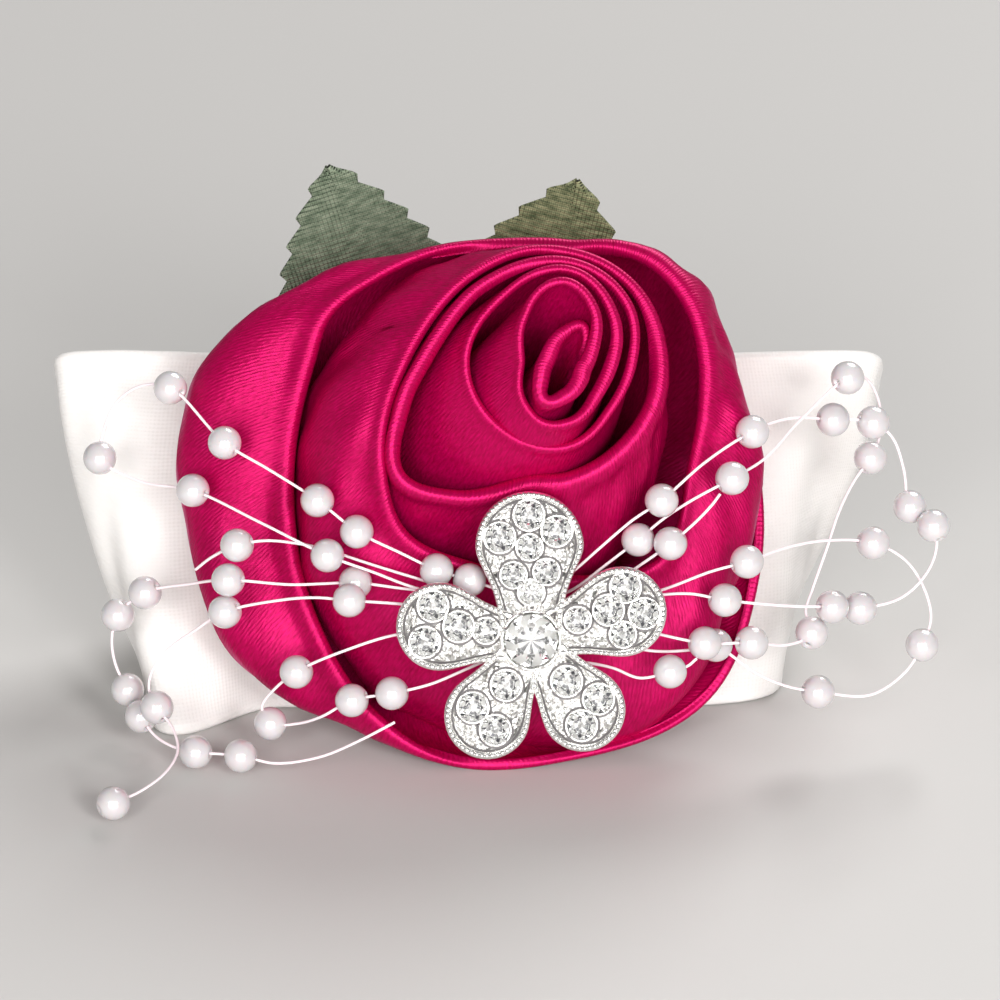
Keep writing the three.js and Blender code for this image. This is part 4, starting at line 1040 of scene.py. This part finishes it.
def brooch():
    chance = np.random.default_rng(7)
    setting = Mesher()
    bed = PLATE_THICKNESS - SEAT_DEPTH
    centre_cup(setting)
    painted_glints = [STONE_PAINTED_GLINT, STONE_FOIL]
    painted_glints_and_darks = [STONE_PAINTED_GLINT, STONE_PAINTED_DARK_REFLECTION, STONE_FOIL, STONE_PAINTED_GLINT, STONE_FOIL]
    floor = CUP_HEIGHT - SEAT_DEPTH
    centre = stone_piece("centre_cut", BROOCH_CENTRE, CENTRE_STONE_RADIUS, floor, 0, painted_glints, 3)
    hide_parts("centre_stone")
    for petal, (angle, *form, stones) in PETALS.items():
        petal_plate(setting, angle, *form)
        milgrain(setting, angle, *form)
        grains(setting, chance, angle, *form, stones)
        for number, (along, across, radius) in enumerate(stones, 1):
            place = turned_to([(along, across)], angle)[0]
            stone_collar(setting, place, radius, bed)
            cut = stone_piece(f"cut_{petal}_{number}", place, radius, bed, chance.uniform(0, 1), painted_glints_and_darks)
            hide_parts(f"stone_{petal}_{number}")
    place = turned_to([TOP_SMALL_STONE], PETALS["top"][0])[0]
    stone_collar(setting, place, ACCENT_RADIUS, bed)
    stone_piece("cut_top_small", place, ACCENT_RADIUS, bed, 0.3, painted_glints, 3)
    # The setting's bed and its grooves carry painted shade.
    plate = setting.piece("brooch_silver", SILVER, SILVER_BED_PAINTED_SHADE, PAINTED_GROOVE_SHADE)
    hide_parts("brooch_setting")
    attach(plate, BODY)


brooch()


# Leaves

LEAF_LENGTH = 44
LEAF_TEETH = 16
LEAF_HALF = 0.25
LEAF_TOOTH_DEPTH = 1.1
LEAF_TOOTH_SLANT = 0.65
LEAF_ROWS_IN_TOOTH = 9
# Distances from the tip: a leaf is free to the first, and the rose holds it flat from the second.
LEAF_FREE_TO = 18
LEAF_FLAT_FROM = 26
# Soft waves of a leaf: height in millimetres, waves along it and across it, phase.
LEAF_WAVES = [(0.18, 2.3, 0.4, 0.1), (0.1, 4.1, -0.6, 0.5)]


def leaf(name, node, width, tip, turn, height, crease, cloth):
    """A pinked leaf of stiff cloth, folded a little along its middle and softly waved towards its tip.
    """
    pitch = LEAF_LENGTH / LEAF_TEETH
    from_tip = np.linspace(0.02, LEAF_LENGTH - 0.3, LEAF_TEETH * LEAF_ROWS_IN_TOOTH)
    body = width / 2 * np.sin(math.pi * (from_tip / LEAF_LENGTH) ** 0.9)
    tooth = (from_tip / pitch) % 1
    saw = np.minimum((1 - tooth) / (1 - LEAF_TOOTH_SLANT), tooth / LEAF_TOOTH_SLANT)
    reach = body + LEAF_TOOTH_DEPTH * saw * smoothstep(from_tip, 0.2, 1.5)
    across = np.concatenate([[-1, -0.985], np.linspace(-0.95, 0.95, 25), [0.985, 1]])
    x = reach[:, None] * across[None, :]
    y = np.repeat(-from_tip[:, None], len(across), axis=1)
    fold = crease * np.abs(x) / width - 0.35 * crease
    wave = ripple(from_tip[:, None] / LEAF_LENGTH, across[None, :], LEAF_WAVES)
    h = height + 0.4 + (fold + wave) * smoothstep(-y, LEAF_FLAT_FROM, LEAF_FREE_TO)
    uv = np.stack([x, y], axis=-1)
    middle = np.concatenate([spun(uv, math.radians(turn)) + tip, h[..., None]], axis=-1)
    half = np.full(x.shape, LEAF_HALF)
    half[:, [1, -2]] *= 0.7
    half[:, [0, -1]] = 0
    piece = cloth_piece(name, on_face(middle), MM * half, uv, cloth)
    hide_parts(node)
    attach(piece, BODY)


leaf("leaf_left_cloth", "leaf_left", 21, (-15.8, 61), 17.5, 0.3, 2.0, LEAF_CLOTH)
leaf("leaf_right_cloth", "leaf_right", 23, (12.2, 59.4), -14.5, 1.4, 3.0, OLIVE_CLOTH)


# Felt pad and press studs

PAD_RADIUS = 21
PAD_LOW = 2.5
PAD_HIGH = 4.0
PAD_HOLE = 0.5


def felt_pad():
    """A disc of felt with a rounded edge and a needle hole at its middle."""
    edge = [
        (PAD_RADIUS - 0.5, PAD_LOW), (PAD_RADIUS - 0.1, PAD_LOW + 0.25), (PAD_RADIUS, PAD_CENTRE[2]),
        (PAD_RADIUS - 0.1, PAD_HIGH - 0.25), (PAD_RADIUS - 0.5, PAD_HIGH),
    ]
    rings = np.linspace(PAD_HOLE, PAD_RADIUS - 1.2, 10)
    back = [(radius, PAD_LOW) for radius in rings]
    face = [(radius, PAD_HIGH) for radius in rings[::-1]]
    profile = [*back, *edge, *face, back[0]]
    points, faces = turned(profile, 64)
    points[:, :2] += PAD_CENTRE[:2]
    pad = mesh_piece("felt_disc", on_face(points), faces, FELT, uvs=points[:, :2])
    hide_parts("felt_pad")
    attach(pad, BODY)


felt_pad()
for place in ("lower", "upper"):
    for half in ("stud", "socket"):
        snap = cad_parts[f"snap_{half}_{place}"]
        snap.data.materials.clear()
        snap.data.materials.append(STUD_METAL)


# Stage

FOCUS = Vector(on_face((3.5, 23.5, 15)))
# The floor and the lamps are placed in metres.
FLOOR_REACH = 3
FLOOR_DROP = 0.0002
SKY_STRENGTH = 0.22
LAMP_DISTANCE = 0.7
# The camera's aim on the face, its distance from it, and the width in view at a height above it,
# in millimetres.
CAMERA_AIM = (3.52, 23.54)
CAMERA_DISTANCE = 800
VIEW_WIDTH = 110
VIEW_HEIGHT = 15
SENSOR_WIDTH = 36


def area_light(name, place, size, power):
    """A soft lamp at a point given from the middle of the corsage, turned to face it."""
    lamp = bpy.data.lights.new(name, "AREA")
    lamp.shape = "DISK"
    lamp.size = size
    lamp.energy = power
    holder = bpy.data.objects.new(name, lamp)
    bpy.context.collection.objects.link(holder)
    holder.location = FOCUS + Vector(place)
    holder.rotation_euler = (-Vector(place)).to_track_quat("-Z", "Y").to_euler()


def floor():
    """A wide pale table top under the corsage."""
    stone = new_material("table_top", (0.585, 0.57, 0.553), 0.5, Specular_IOR_Level=0.3)
    corners = [(FLOOR_REACH * x, FLOOR_REACH * y, 0) for x, y in ((-1, -1), (1, -1), (1, 1), (-1, 1))]
    plane = mesh_piece("floor", corners, [(0, 1, 2, 3)], stone)
    plane.location.z = -FLOOR_DROP


def daylight():
    world = bpy.data.worlds.new("room")
    world.use_nodes = True
    sky = world.node_tree.nodes["Background"]
    sky.inputs["Color"].default_value = (1, 0.99, 0.98, 1)
    sky.inputs["Strength"].default_value = SKY_STRENGTH
    bpy.context.scene.world = world


def camera():
    """Square to the face of the corsage."""
    lens = bpy.data.cameras.new("camera")
    lens.sensor_width = SENSOR_WIDTH
    lens.lens = SENSOR_WIDTH * (CAMERA_DISTANCE - VIEW_HEIGHT) / VIEW_WIDTH
    lens.clip_start = 0.01
    holder = bpy.data.objects.new("camera", lens)
    bpy.context.collection.objects.link(holder)
    holder.location = on_face((*CAMERA_AIM, CAMERA_DISTANCE))
    holder.rotation_euler = (math.pi / 2 - LEAN, 0, 0)
    bpy.context.scene.camera = holder


floor()
daylight()
camera()
front = FACE_H * LAMP_DISTANCE
area_light("left_softbox", front + FACE_X * -0.26 + FACE_V * 0.02, 0.2, 1.2)
area_light("right_softbox", front + FACE_X * 0.26 + FACE_V * 0.02, 0.2, 2.25)
area_light("window", (0.35, 0.75, 0.75), 0.6, 8)
area_light("low_card", front * 1.4 - FACE_V * 0.34, 1.2, 17.5)
bpy.context.scene.view_settings.view_transform = "Standard"
